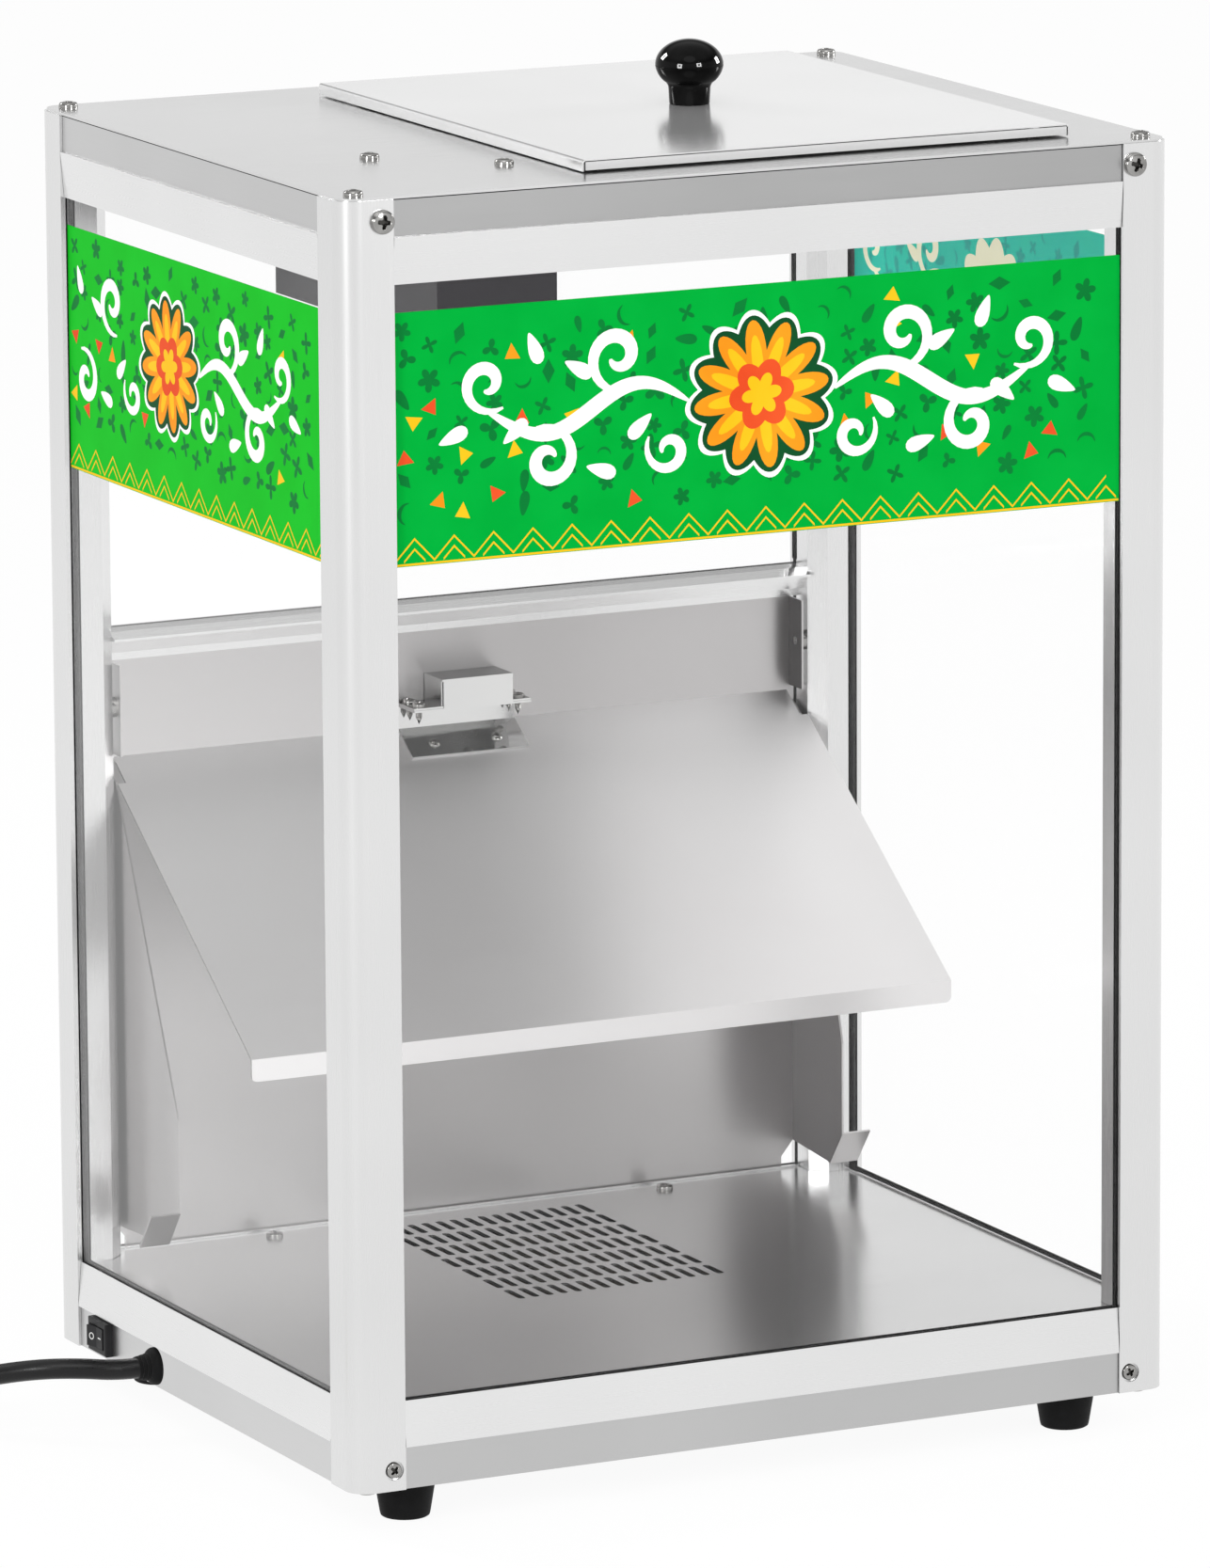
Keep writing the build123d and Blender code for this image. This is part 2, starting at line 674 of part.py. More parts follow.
# ---------------------------------------------------------------- door catch
def catch_bracket_piece():
    """Channel of polished sheet: top leg, short web at the back, lower leg lying on the slope."""
    t = catch_sheet
    back = chute_wall_y - catch_web_gap
    front = back - catch_reach
    top = catch_top_z + t
    lift = 0.05
    run = catch_foot_reach * cos(radians(chute_angle))
    foot_y = back - run
    n = slope_normal
    low_back = slope_z(back) + lift
    low_front = slope_z(foot_y) + lift
    points = [(front, top), (front, top - t), (back - t, top - t),
              (back - t, low_back + t * (n[2] - chute_slope)), (foot_y + t * n[1], low_front + t * n[2]),
              (foot_y, low_front), (back, low_back), (back, top)]
    sheet = prism_x(points, -catch_width / 2, catch_width / 2)
    for x, y in catch_screw_places:
        sheet = sheet - rod((x, y, top - t - cut_over), (0, 0, 1), catch_hole_radius, t + 2 * cut_over)
    for x in catch_rivet_xs:
        sheet = sheet - slope_pin(x, catch_rivet_y, rivet_hole_radius, t + 2 * cut_over, -cut_over)
    return sheet


catch_back_y = chute_wall_y - catch_web_gap
catch_screw_places = [
    (side * catch_screw_x, catch_back_y - inset) for side in (-1, 1) for inset in catch_screw_insets]


def catch_housing_piece():
    """Folded box over the magnet, open at the back, with ears that the screws hold."""
    t = catch_sheet
    z0 = catch_top_z + t
    z1 = z0 + catch_box_height
    x0 = catch_box_shift - catch_box_width / 2
    x1 = catch_box_shift + catch_box_width / 2
    y1 = chute_wall_y - catch_web_gap
    y0 = y1 - catch_reach - 0.4
    hollow = block(x0 + t, x1 - t, y0 + t, y1 + cut_over, z0 - cut_over, z1 - t)
    cover = block(x0, x1, y0, y1, z0, z1) - hollow
    ears = block(-catch_width / 2, x0 + t, y0 + 0.8, y1, z0, z0 + t) + block(
        x1 - t, catch_width / 2, y0 + 0.8, y1, z0, z0 + t)
    cover = cover + ears
    for x, y in catch_screw_places:
        cover = cover - rod((x, y, z0 - cut_over), (0, 0, 1), catch_hole_radius, t + 2 * cut_over)
    return cover


def magnet_piece():
    y1 = door_inner_y - running_gap
    x0 = catch_box_shift - magnet_width / 2
    x1 = catch_box_shift + magnet_width / 2
    return block(x0, x1, y1 - magnet_length, y1, magnet_z - magnet_height / 2, magnet_z + magnet_height / 2)


def catch_fixings_group():
    pieces = []
    for x, y in catch_screw_places:
        seat = (x, y, catch_top_z + 2 * catch_sheet)
        pieces.append(pan_screw(seat, (0, 0, 1), 3.4, 2.3, catch_screw_radius, 5.6, point=3.2))
    for x in catch_rivet_xs:
        head = slope_pin(x, catch_rivet_y, rivet_head_radius, 1.3, catch_sheet + 0.06)
        stem = slope_pin(x, catch_rivet_y, rivet_radius, chute_sheet + catch_sheet + 0.5, -chute_sheet)
        pieces.append(head + stem)
    return group(*pieces)


# ---------------------------------------------------------------- service door
def door_piece():
    """Panel with two toed-in cheeks, each with a stop tab folded outwards at its lower front corner."""
    t = door_sheet
    half = door_half_width
    y0 = door_inner_y
    y1 = y0 + t
    panel = block(-half, half, y0, y1, cheek_bottom_z, door_top_z)
    inset = half - corner_notch
    slant_z = cheek_bottom_z - notch_slant
    tongue_outline = [(-half + t, cheek_bottom_z), (half - t, cheek_bottom_z), (inset, slant_z),
                      (inset, door_bottom_z), (-inset, door_bottom_z), (-inset, slant_z)]
    tongue = prism(tongue_outline, Plane(origin=(0, y1, 0), x_dir=(1, 0, 0), z_dir=(0, -1, 0)), t)
    top_cut = block(-half, -chute_flange_x + 4, y0 - 1, y1 + 1, chute_bend_z + 2, door_top_z + 1)
    panel = panel + tongue - top_cut - mirrored_x(top_cut)
    front = y0 - cheek_reach
    apex_z = slope_z(chute_wall_y - 9.0) - 4.5
    apex_y = front + (apex_z - cheek_shoulder_z) * 0.358
    profile = [(y1, cheek_bottom_z), (front + cheek_fold_run, cheek_bottom_z - 0.6), (front, cheek_fold_z),
               (front, cheek_shoulder_z), (apex_y, apex_z), (y1, slope_z(y0) - 6.0)]
    flat = prism_x(profile, 0, t)
    lean = degrees(atan2(door_toe_in, 1))
    cheek = Pos(half - t, y1, 0) * (Rot(0, 0, -lean) * (Pos(0, -y1, 0) * flat))
    fold_x = half - t - door_toe_in * cheek_reach
    tab_plane_run = cheek_fold_run
    rise = cheek_fold_z - cheek_bottom_z + 0.6
    length = sqrt(tab_plane_run ** 2 + rise ** 2)
    ny = rise / length * t
    nz = tab_plane_run / length * t
    tab_profile = [(front + tab_plane_run, cheek_bottom_z - 0.6), (front, cheek_fold_z),
                   (front + ny, cheek_fold_z + nz), (front + tab_plane_run + ny, cheek_bottom_z - 0.6 + nz)]
    tab = prism_x(tab_profile, fold_x + 0.2, fold_x + tab_width)
    side = cheek + tab
    door = panel + side + mirrored_x(side)
    hole = rod((0, y0 - cut_over, door_knob_z), (0, 1, 0), knob_screw_radius + hole_play, t + 2 * cut_over)
    return door - hole


knuckle_pitch = 2 * hinge_half_length / hinge_knuckles
knuckle_gap = 0.5


def knuckles(owners):
    """The knuckles of one leaf, numbered from the left."""
    pieces = []
    for index in owners:
        x0 = -hinge_half_length + index * knuckle_pitch + knuckle_gap / 2
        barrel = rod((x0, hinge_y, hinge_z), (1, 0, 0), hinge_knuckle_radius, knuckle_pitch - knuckle_gap)
        bore = rod((x0 - 1, hinge_y, hinge_z), (1, 0, 0), hinge_pin_radius + 0.15, knuckle_pitch + 2)
        pieces.append((x0, barrel, bore))
    return pieces


def leaf(owners, outline):
    sheet = None
    for x0, barrel, bore in knuckles(owners):
        strip = prism_x(outline, x0, x0 + knuckle_pitch - knuckle_gap)
        piece = (barrel + strip) - bore
        sheet = piece if sheet is None else sheet + piece
    return sheet


def hinge_rail_leaf_piece():
    """Fixed leaf, lying on the sloping band of the rear bottom rail; its knuckles rise above the rail."""
    t = hinge_sheet
    lift = 0.06
    y_high = half_y - slope_recess + lift
    y_low = half_y + lift
    z_high = lower_rail_height + 0.4
    z_low = lower_band_height + 0.6
    lean = (y_low - y_high) / (z_high - z_low)
    z_plate = z_high - 3.0
    y_plate = y_high + 3.0 * lean
    outline = [(y_high, z_high), (hinge_y - 0.7, hinge_z - 1.6), (hinge_y + 1.2, hinge_z - 1.6),
               (y_high + t + 0.2, z_high), (y_plate + t, z_plate), (y_plate, z_plate)]
    comb = leaf(range(0, hinge_knuckles, 2), outline)
    band = [(y_plate, z_plate), (y_plate + t, z_plate), (y_low + t, z_low), (y_low, z_low)]
    half = hinge_half_length - knuckle_gap / 2
    return comb + prism_x(band, -half, half)


def hinge_door_leaf_piece():
    """Moving leaf, spot-welded on the outside of the door."""
    y0 = door_inner_y + door_sheet
    t = hinge_sheet
    outline = [(y0, hinge_z - 0.4), (hinge_y - 0.6, hinge_z - 0.4), (hinge_y + 0.9, hinge_z + 1.7),
               (y0 + t, hinge_z + 2.6), (y0 + t, hinge_z + 4.5), (y0, hinge_z + 4.5)]
    comb = leaf(range(1, hinge_knuckles, 2), outline)
    half = hinge_half_length - knuckle_gap / 2
    return comb + block(-half, half, y0, y0 + t, hinge_z + 3.6, hinge_z + hinge_leaf_height)


# ---------------------------------------------------------------- floor and base
def floor_plate_piece():
    play = floor_edge_play
    edge_x = half_x - groove_start - groove_width - inner_lip_wall - play
    edge_y = half_y - groove_start - groove_width - inner_lip_wall - play
    notch_x = post_in_x - play
    notch_y = post_in_y - play
    b = post_bevel
    quarter = [(edge_x, notch_y), (notch_x + b, notch_y), (notch_x, notch_y + b), (notch_x, edge_y)]
    outline = []
    for sx, sy, flip in ((1, 1, False), (-1, 1, True), (-1, -1, False), (1, -1, True)):
        corner = [(sx * x, sy * y) for x, y in quarter]
        outline.extend(reversed(corner) if flip else corner)
    plate = prism_z(outline, ledge_height, floor_top)
    slot = extrude(SlotOverall(slot_length, slot_width, rotation=90), amount=floor_thickness + 2)
    first_x = -(grille_columns - 1) / 2 * grille_column_pitch
    first_y = grille_centre_y - (grille_rows - 1) / 2 * grille_row_pitch
    slots = []
    for column in range(grille_columns):
        for row in range(grille_rows):
            slots.append(Pos(first_x + column * grille_column_pitch, first_y + row * grille_row_pitch,
                             ledge_height - 1) * slot)
    plate = plate - slots
    for x in (-floor_screw_x, floor_screw_x):
        start = (x, floor_screw_y, ledge_height - cut_over)
        plate = plate - rod(start, (0, 0, 1), floor_screw_radius + hole_play, floor_thickness + 2 * cut_over)
    return plate


def floor_screw_group():
    screws = []
    for x in (-floor_screw_x, floor_screw_x):
        screws.append(pan_screw((x, floor_screw_y, floor_top), (0, 0, 1), 4.2, 2.6, floor_screw_radius,
                                floor_thickness + floor_screw_length))
    return group(*screws)


def base_pan_piece():
    """Shallow tray between the rails, flush with their undersides."""
    t = pan_thickness
    px = half_x - rail_depth - pan_play
    py = half_y - rail_depth - pan_play
    tray = block(-px, px, -py, py, 0, t)
    end_x = half_x - pan_flange_end_x
    end_y = half_y - pan_flange_end_y
    for side in (-1, 1):
        tray = tray + block(-end_x, end_x, side * py, side * (py - t), 0, pan_flange)
        tray = tray + block(side * px, side * (px - t), -end_y, end_y, 0, pan_flange)
    vent = extrude(SlotOverall(vent_length, vent_width), amount=t + 2)
    first_y = grille_centre_y - (vent_rows - 1) / 2 * vent_pitch
    for vent_x in (-vent_offset, vent_offset):
        for row in range(vent_rows):
            tray = tray - Pos(vent_x, first_y + row * vent_pitch, -1) * vent
    for x in (-foot_x, foot_x):
        for y in (-foot_y, foot_y):
            tray = tray - rod((x, y, -1), (0, 0, 1), 2.7, t + 2)
    return tray


def fan_frame_piece():
    """Square axial fan housing with a round bore, motor cup and four struts."""
    z0 = pan_thickness
    half = fan_size / 2
    y = grille_centre_y
    housing = block(-half, half, y - half, y + half, z0, z0 + fan_height)
    housing = fillet(housing.edges().filter_by(Axis.Z), 5)
    housing = housing - rod((0, y, z0 - 1), (0, 0, 1), fan_bore_radius, fan_height + 2)
    cup = rod((0, y, z0), (0, 0, 1), fan_hub_radius, fan_cup_height)
    struts = None
    for quarter in range(4):
        reach = fan_bore_radius - fan_hub_radius + 4
        bar = Pos((fan_bore_radius + fan_hub_radius) / 2, 0, 0) * Box(reach, 4, fan_cup_height)
        arm = Pos(0, y, z0 + fan_cup_height / 2) * (Rot(0, 0, 45 + 90 * quarter) * bar)
        struts = arm if struts is None else struts + arm
    spindle = rod((0, y, z0), (0, 0, 1), fan_spindle_radius, fan_cup_height + fan_spindle_reach)
    return housing + cup + struts + spindle


def fan_rotor_piece():
    z0 = pan_thickness + fan_cup_height + fan_axial_gap
    y = grille_centre_y
    height = fan_height - fan_cup_height - fan_axial_gap - fan_top_gap
    hub = rod((0, y, z0), (0, 0, 1), fan_hub_radius, height)
    tip = fan_bore_radius - fan_tip_gap
    reach = tip - fan_hub_radius + 3
    rotor = hub
    for blade in range(fan_blades):
        vane = Pos(fan_hub_radius - 3 + reach / 2, 0, height / 2) * (Rot(38, 0, 0) * Box(reach, 20, 1.6))
        rotor = rotor + Pos(0, y, z0) * (Rot(0, 0, 360 / fan_blades * blade) * vane)
    rotor = rotor & rod((0, y, z0), (0, 0, 1), tip, height)
    start = (0, y, z0 - cut_over)
    return rotor - rod(start, (0, 0, 1), fan_spindle_radius + running_gap, fan_spindle_reach + cut_over)


def heating_element_piece():
    """Serpentine tube above the fan; its two ends turn down and stand on the base pan."""
    y0 = grille_centre_y - heater_pitch * (heater_passes - 1) / 2
    x_leg = heater_leg_x
    route = [(-x_leg, y0, pan_thickness), (-x_leg, y0, heater_z)]
    side = 1
    for index in range(heater_passes):
        y = y0 + index * heater_pitch
        last = index == heater_passes - 1
        if index > 0:
            route.append((-side * heater_half_width, y, heater_z))
        if last:
            route.append((side * x_leg, y, heater_z))
        else:
            route.append((side * heater_half_width, y, heater_z))
        side = -side
    last_x = -side * x_leg
    route.append((last_x, y0 + (heater_passes - 1) * heater_pitch, pan_thickness))
    path = FilletPolyline(*route, radius=heater_pitch * 0.40)
    section = Plane(origin=route[0], z_dir=(0, 0, 1)) * Circle(heater_tube_radius)
    return sweep(section, path=path)


def foot_piece(x, y):
    body = Pos(x, y, -foot_height / 2) * Cone(foot_bottom_radius, foot_top_radius, foot_height)
    body = fillet(body.edges().group_by(Axis.Z)[0], 1.2)
    well = rod((x, y, -foot_height - 1), (0, 0, 1), 6.2, 9.5)
    hole = rod((x, y, -foot_height), (0, 0, 1), 2.6, foot_height + 1)
    return body - well - hole


def foot_screw(x, y):
    return pan_screw((x, y, -foot_height + 8.5), (0, 0, -1), 4.6, 3.0, 2.4, foot_height - 8.5 + 9)


# ---------------------------------------------------------------- corner brackets
def corner_bracket(side_x, side_y, z0):
    """Angle of flat bar in one corner of the frame, flat against the rails' inner faces."""
    t = bracket_thickness
    x0 = side_x * (half_x - rail_depth)
    y0 = side_y * (half_y - rail_depth)
    x1 = x0 - side_x * bracket_leg
    y1 = y0 - side_y * bracket_leg
    z1 = z0 + bracket_width
    return block(x0, x1, y0, y0 - side_y * t, z0, z1) + block(x0, x0 - side_x * t, y0, y1, z0, z1)


# ---------------------------------------------------------------- switch and cord
band_x = -half_x + band_recess


def switch_housing_piece():
    face_x = band_x - switch_proud
    bezel = block(face_x, band_x, switch_y - switch_width / 2, switch_y + switch_width / 2,
                  switch_z - switch_bezel_height / 2, switch_z + switch_bezel_height / 2)
    bezel = fillet(bezel.edges().group_by(Axis.X)[0], 0.8)
    body = Pos(band_x + switch_body_depth / 2, switch_y, switch_z) * Box(
        switch_body_depth, switch_body_width, switch_body_height)
    pocket_depth = switch_proud + 6.0
    pocket = Pos(face_x - cut_over + (pocket_depth + cut_over) / 2, switch_y, switch_z) * Box(
        pocket_depth + cut_over, rocker_width + 2 * slip_gap, rocker_height + 2 * slip_gap)
    return bezel + body - pocket


rocker_axis_x = band_x - 0.5


def rocker_piece():
    """Rocker on an upright axle; the rear half stands proud, as when the front half is pressed in."""
    h = rocker_width / 2
    crown = band_x - switch_proud - 0.4
    rise = h * tan(radians(rocker_tilt))
    edge = h - rocker_taper
    outline = [(crown - rise, edge), (crown, 0), (crown - rise, -edge), (crown + 3.6, -h),
               (crown + 7.4, -2.5), (crown + 7.4, 2.5), (crown + 3.6, h)]
    placed = [(x, y + switch_y) for x, y in outline]
    plate = prism_z(placed, switch_z - rocker_height / 2, switch_z + rocker_height / 2)
    return plate.rotate(Axis((rocker_axis_x, switch_y, 0), (0, 0, 1)), rocker_tilt)


def bush_piece():
    """Cord bush: rounded flange outside the rail, neck through its wall."""
    r = bush_flange_radius
    outline = Line((0, 0), (0, bush_proud)) + Line((0, bush_proud), (cord_diameter / 2 + 0.6, bush_proud))
    mouth = cord_diameter / 2 + 0.6
    outline = outline + ThreePointArc((mouth, bush_proud), (r - 0.8, bush_proud * 0.72), (r, 0.6))
    outline = outline + Line((r, 0.6), (r, 0)) + Line((r, 0), (0, 0))
    flange = revolve(make_face(Plane.XZ * outline), axis=Axis.Z)
    neck = Pos(0, 0, -6) * Cylinder(bush_neck_radius, 12)
    return Plane(origin=(band_x, bush_y, bush_z), z_dir=(-1, 0, 0)).location * (flange + neck)


def left_bottom_rail_with_holes(rail_solid):
    play = running_gap
    through = 2 * (rail_depth + cut_over)
    opening = Pos(-half_x, switch_y, switch_z) * Box(
        through, switch_body_width + 2 * play, switch_body_height + 2 * play)
    start = (-half_x - cut_over, bush_y, bush_z)
    bore = rod(start, (1, 0, 0), bush_neck_radius + play, rail_depth + 2 * cut_over)
    return rail_solid - opening - bore


# The cord's route from the bush towards the coil, chosen by eye. Each point is how far out it is from the
# left rail's band, how far to the rear of the bush, and its height.
cord_route = [
    (bush_proud, 0.0, bush_z),
    (19.5, 0.0, bush_z),
    (36.5, 4.1, 12.2),
    (55.0, 13.5, 12.0),
    (72.5, 29.2, 7.6),
    (91.5, 46.2, 0.8),
    (109.0, 62.7, -6.2),
    (123.0, 82.2, -12.0),
]

tube_radius = cord_diameter / 2


def corner_radii(points):
    """The largest arc that each corner of a route has room for."""
    radii = []
    for before, here, after in zip(points, points[1:], points[2:]):
        run_in = Vector(*here) - Vector(*before)
        run_out = Vector(*after) - Vector(*here)
        turn = run_in.get_angle(run_out)
        radii.append(0.45 * min(run_in.length, run_out.length) / tan(radians(turn) / 2))
    return radii


def tube(points, label):
    radii = corner_radii(points)
    print(label, "arc radii", [round(r, 1) for r in radii])
    path = FilletPolyline(*points, radius=radii)
    start = Plane(origin=points[0], z_dir=tuple(Vector(*points[1]) - Vector(*points[0])))
    solid = sweep(start * Circle(tube_radius), path=path)
    print(label, "length", round(path.length, 1), "volume over section times length",
          round(solid.volume / (pi * tube_radius ** 2 * path.length), 4))
    return solid, path.length


# ---------------------------------------------------------------- coil
coil_centre = (band_x - coil_out, bush_y + coil_aside)
coil_low_z = floor_level + coil_lift + tube_radius
coil_high_z = coil_low_z + coil_pitch


def coil_point(turn):
    """Centre of the cord: it spirals in below, climbs where the spiral reverses, and spirals out above."""
    depth = coil_turns - abs(turn - coil_turns)
    radius = coil_outer_radius - coil_pitch * depth
    climb = min(max((turn - coil_turns + 0.25) / 0.5, 0), 1)
    z = coil_low_z + (coil_high_z - coil_low_z) * climb
    angle = coil_start_angle + 2 * pi * turn
    return Vector(coil_centre[0] + radius * cos(angle), coil_centre[1] + radius * sin(angle), z)


def coil_heading(turn):
    """Direction of travel, level where the cord lies in a layer and rising in the middle of the climb."""
    step = 0.002
    ahead = coil_point(turn + step)
    behind = coil_point(turn - step)
    direction = ahead - behind
    if abs(abs(turn - coil_turns) - 0.25) < 0.01:
        direction = Vector(direction.X, direction.Y, 0)
    return direction.normalized()


def biarc(p0, t0, p1, t1):
    """Two tangent arcs between two points with given directions."""
    chord = p1 - p0
    t_sum = t0 + t1
    spread = 2 * (1 - t0.dot(t1))
    along = chord.dot(t_sum)
    reach = (-along + sqrt(along ** 2 + spread * chord.dot(chord))) / spread
    joint = (p0 + t0 * reach + p1 - t1 * reach) * 0.5
    joint_heading = (p1 - t1 * reach) - (p0 + t0 * reach)
    return [TangentArc(p0, joint, tangent=t0), TangentArc(joint, p1, tangent=joint_heading)]


coil_step = 0.25


def coil_path():
    edges = []
    count = int(round(2 * coil_turns / coil_step))
    for index in range(count):
        a = index * coil_step
        b = a + coil_step
        edges.extend(biarc(coil_point(a), coil_heading(a), coil_point(b), coil_heading(b)))
    return Wire(edges)


def least_self_gap(path):
    """Smallest clearance between turns, measured on points along the path."""
    samples = 900
    points = [path @ (i / samples) for i in range(samples + 1)]
    step = path.length / samples
    skip = int(cord_diameter * 3 / step)
    best = 1e9
    for i in range(0, samples + 1, 3):
        for j in range(i + skip, samples + 1):
            best = min(best, (points[i] - points[j]).length)
    return best - cord_diameter


def cord_pieces():
    path = coil_path()
    start = path @ 0
    heading = path % 0
    lead_points = [(band_x - out, bush_y + aside, z) for out, aside, z in cord_route]
    lead_points += [tuple(start - heading * coil_entry_run), tuple(start)]
    lead, lead_length = tube(lead_points, "power_cord")
    coil = sweep(Plane(origin=start, z_dir=heading) * Circle(tube_radius), path=path)
    print("cord_coil length", round(path.length, 1), "volume over section times length",
          round(coil.volume / (pi * tube_radius ** 2 * path.length), 4), "least gap to itself",
          round(least_self_gap(path), 2))
    end = path @ 1
    end_heading = (path % 1).normalized()
    plug_end = end + end_heading * plug_lead_length
    stub = rod(tuple(end), tuple(end_heading), tube_radius, plug_lead_length)
    print("whole cord", round(lead_length + path.length + plug_lead_length, 1))
    return lead, coil + stub, plug_end, end_heading


def tie_piece():
    """Strap round all the turns, at the side of the coil away from its ends."""
    t = tie_thickness
    inner = coil_outer_radius - coil_pitch * coil_turns - tube_radius - 0.6
    outer = coil_outer_radius + tube_radius + 0.6
    low = floor_level + 0.1
    high = coil_high_z + tube_radius + 0.4
    middle = (inner + outer) / 2
    width = outer - inner
    height = high - low - t
    loop = Pos(middle, (low + t + high) / 2) * (
        RectangleRounded(width + 2 * t, height + 2 * t - 0.02, 5) - RectangleRounded(width, height, 4))
    angle = coil_start_angle + radians(135)
    plane = Plane(origin=(coil_centre[0], coil_centre[1], 0), x_dir=(cos(angle), sin(angle), 0),
                  z_dir=(sin(angle), -cos(angle), 0))
    return extrude(plane * loop, amount=tie_width / 2, both=True)


def plug_pieces(end, heading):
    """Moulded plug with two flat blades and a round earth pin, in line with the cord's end."""
    r0 = tube_radius + 1.6
    r1 = r0 + 2.2
    neck_z = plug_boot_length
    shoulder_z = neck_z + plug_shoulder
    face_z = neck_z + plug_shoulder + plug_length
    outline = Polyline((0, 0), (r0, 0), (r1, neck_z))
    flare = (r1 + (plug_radius - r1) * 0.62, neck_z + plug_shoulder * 0.38)
    outline = outline + ThreePointArc((r1, neck_z), flare, (plug_radius, shoulder_z))
    outline = outline + Polyline((plug_radius, shoulder_z), (plug_radius, face_z), (0, face_z), (0, 0))
    body = revolve(make_face(Plane.XZ * outline), axis=Axis.Z)
    root_z = face_z - plug_pin_socket
    pins = []
    for side in (-1, 1):
        x0 = side * plug_blade_spacing / 2 - plug_blade_thickness / 2
        y0 = plug_earth_offset / 2 - plug_blade_width / 2
        pins.append(block(x0, x0 + plug_blade_thickness, y0, y0 + plug_blade_width, root_z,
                          face_z + plug_blade_length))
    pins.append(rod((0, -plug_earth_offset / 2, root_z), (0, 0, 1), plug_earth_radius,
                    plug_pin_socket + plug_earth_length))
    for pin in pins:
        body = body - pin
    place = Plane(origin=tuple(end), z_dir=tuple(heading)).location
    return place * body, place * group(*pins)


# ---------------------------------------------------------------- all nodes
nodes = {}
post = drilled_post()
nodes["post_front_left"] = post
nodes["post_front_right"] = mirrored_x(post)
nodes["post_rear_left"] = mirrored_y(post)
nodes["post_rear_right"] = mirrored_x(mirrored_y(post))

for storey, band, flip in (("bottom", lower_band_height, False), ("top", upper_band_height, True)):
    for side, solid in zip(("front", "rear", "left", "right"), place_rails(band, flip)):
        nodes[f"{storey}_rail_{side}"] = solid
nodes["bottom_rail_left"] = left_bottom_rail_with_holes(nodes["bottom_rail_left"])
for x in (-floor_screw_x, floor_screw_x):
    nodes["bottom_rail_rear"] = nodes["bottom_rail_rear"] - rod(
        (x, floor_screw_y, ledge_height - floor_screw_length - cut_over), (0, 0, 1),
        floor_screw_radius + thread_play, floor_screw_length + 2 * cut_over)
nodes["rear_mid_rail"] = mid_rail_piece()

gy = half_y - glass_inset
gx = half_x - glass_inset
pane = glass_thickness
nodes["glass_front"] = block(-glass_half_x, glass_half_x, -gy, -gy + pane, glass_bottom, glass_top)
nodes["glass_left"] = block(-gx, -gx + pane, -glass_half_y, glass_half_y, glass_bottom, glass_top)
nodes["glass_right"] = mirrored_x(nodes["glass_left"])
rear_glass_bottom = mid_rail_top - mid_rail_groove + groove_end_play
nodes["glass_rear"] = block(-glass_half_x, glass_half_x, gy - pane, gy, rear_glass_bottom, glass_top)

banner_bottom = banner_top - banner_height
film = banner_thickness
film_half_x = post_in_x - running_gap
film_half_y = post_in_y - running_gap
nodes["banner_front"] = block(-film_half_x, film_half_x, -gy - film, -gy, banner_bottom, banner_top)
nodes["banner_left"] = block(-gx - film, -gx, -film_half_y, film_half_y, banner_bottom, banner_top)
nodes["banner_right"] = mirrored_x(nodes["banner_left"])

nodes["top_panel"] = top_panel_plate()
top_screws = []
for places, shank in ((corner_screw_places, end_shank_length), (lamp_screw_places, lamp_shank_length)):
    for x, y in places:
        top_screws.append(pan_screw((x, y, panel_top), (0, 0, 1), end_head_radius, end_head_height,
                                    long_shank_radius, shank))
nodes["top_panel_screws"] = group(*top_screws)

upper_screws = []
lower_screws = []
brackets = []
for sx, sy in corners:
    seat = (sx * post_screw_x, sy * half_y, upper_screw_z)
    upper_screws.append(pan_screw(seat, (0, sy, 0), pan_head_radius, pan_head_height, long_shank_radius,
                                  long_shank_length))
    seat = (sx * post_screw_x, sy * (half_y - counterbore_depth), lower_screw_z)
    lower_screws.append(pan_screw(seat, (0, sy, 0), small_head_radius, small_head_height, long_shank_radius,
                                  long_shank_length - counterbore_depth))
    seat = (sx * (half_x - post_port_inset), sy * (half_y - post_port_inset), 0)
    lower_screws.append(pan_screw(seat, (0, 0, -1), end_head_radius, end_head_height, long_shank_radius,
                                  end_shank_length))
    brackets.append(corner_bracket(sx, sy, lower_bracket_z))
    brackets.append(corner_bracket(sx, sy, post_height - upper_bracket_drop))
nodes["post_screws_upper"] = group(*upper_screws)
nodes["post_screws_lower"] = group(*lower_screws)
nodes["corner_brackets"] = group(*brackets)

nodes["lamp_housing"] = lamp_box()
nodes["lamp_socket"] = lamp_socket_piece()
nodes["lamp_bulb"] = lamp_bulb_piece()

nodes["lid_skin"] = lid_skin_piece()
nodes["lid_tray"] = lid_tray_piece()
knob = knob_solid()
lid_top = lid_base_z + lid_height
nodes["lid_knob"] = Pos(hatch_centre_x, hatch_centre_y, lid_top) * knob
knob_seat = (hatch_centre_x, hatch_centre_y, lid_top - lid_sheet)
nodes["lid_knob_screw"] = knob_screw(knob_seat, (0, 0, 1), knob_screw_length)

nodes["chute"] = chute_piece()
nodes["chute_fixings"] = chute_fixings_group()
nodes["catch_bracket"] = catch_bracket_piece()
nodes["catch_housing"] = catch_housing_piece()
nodes["catch_magnet"] = magnet_piece()
nodes["catch_fixings"] = catch_fixings_group()

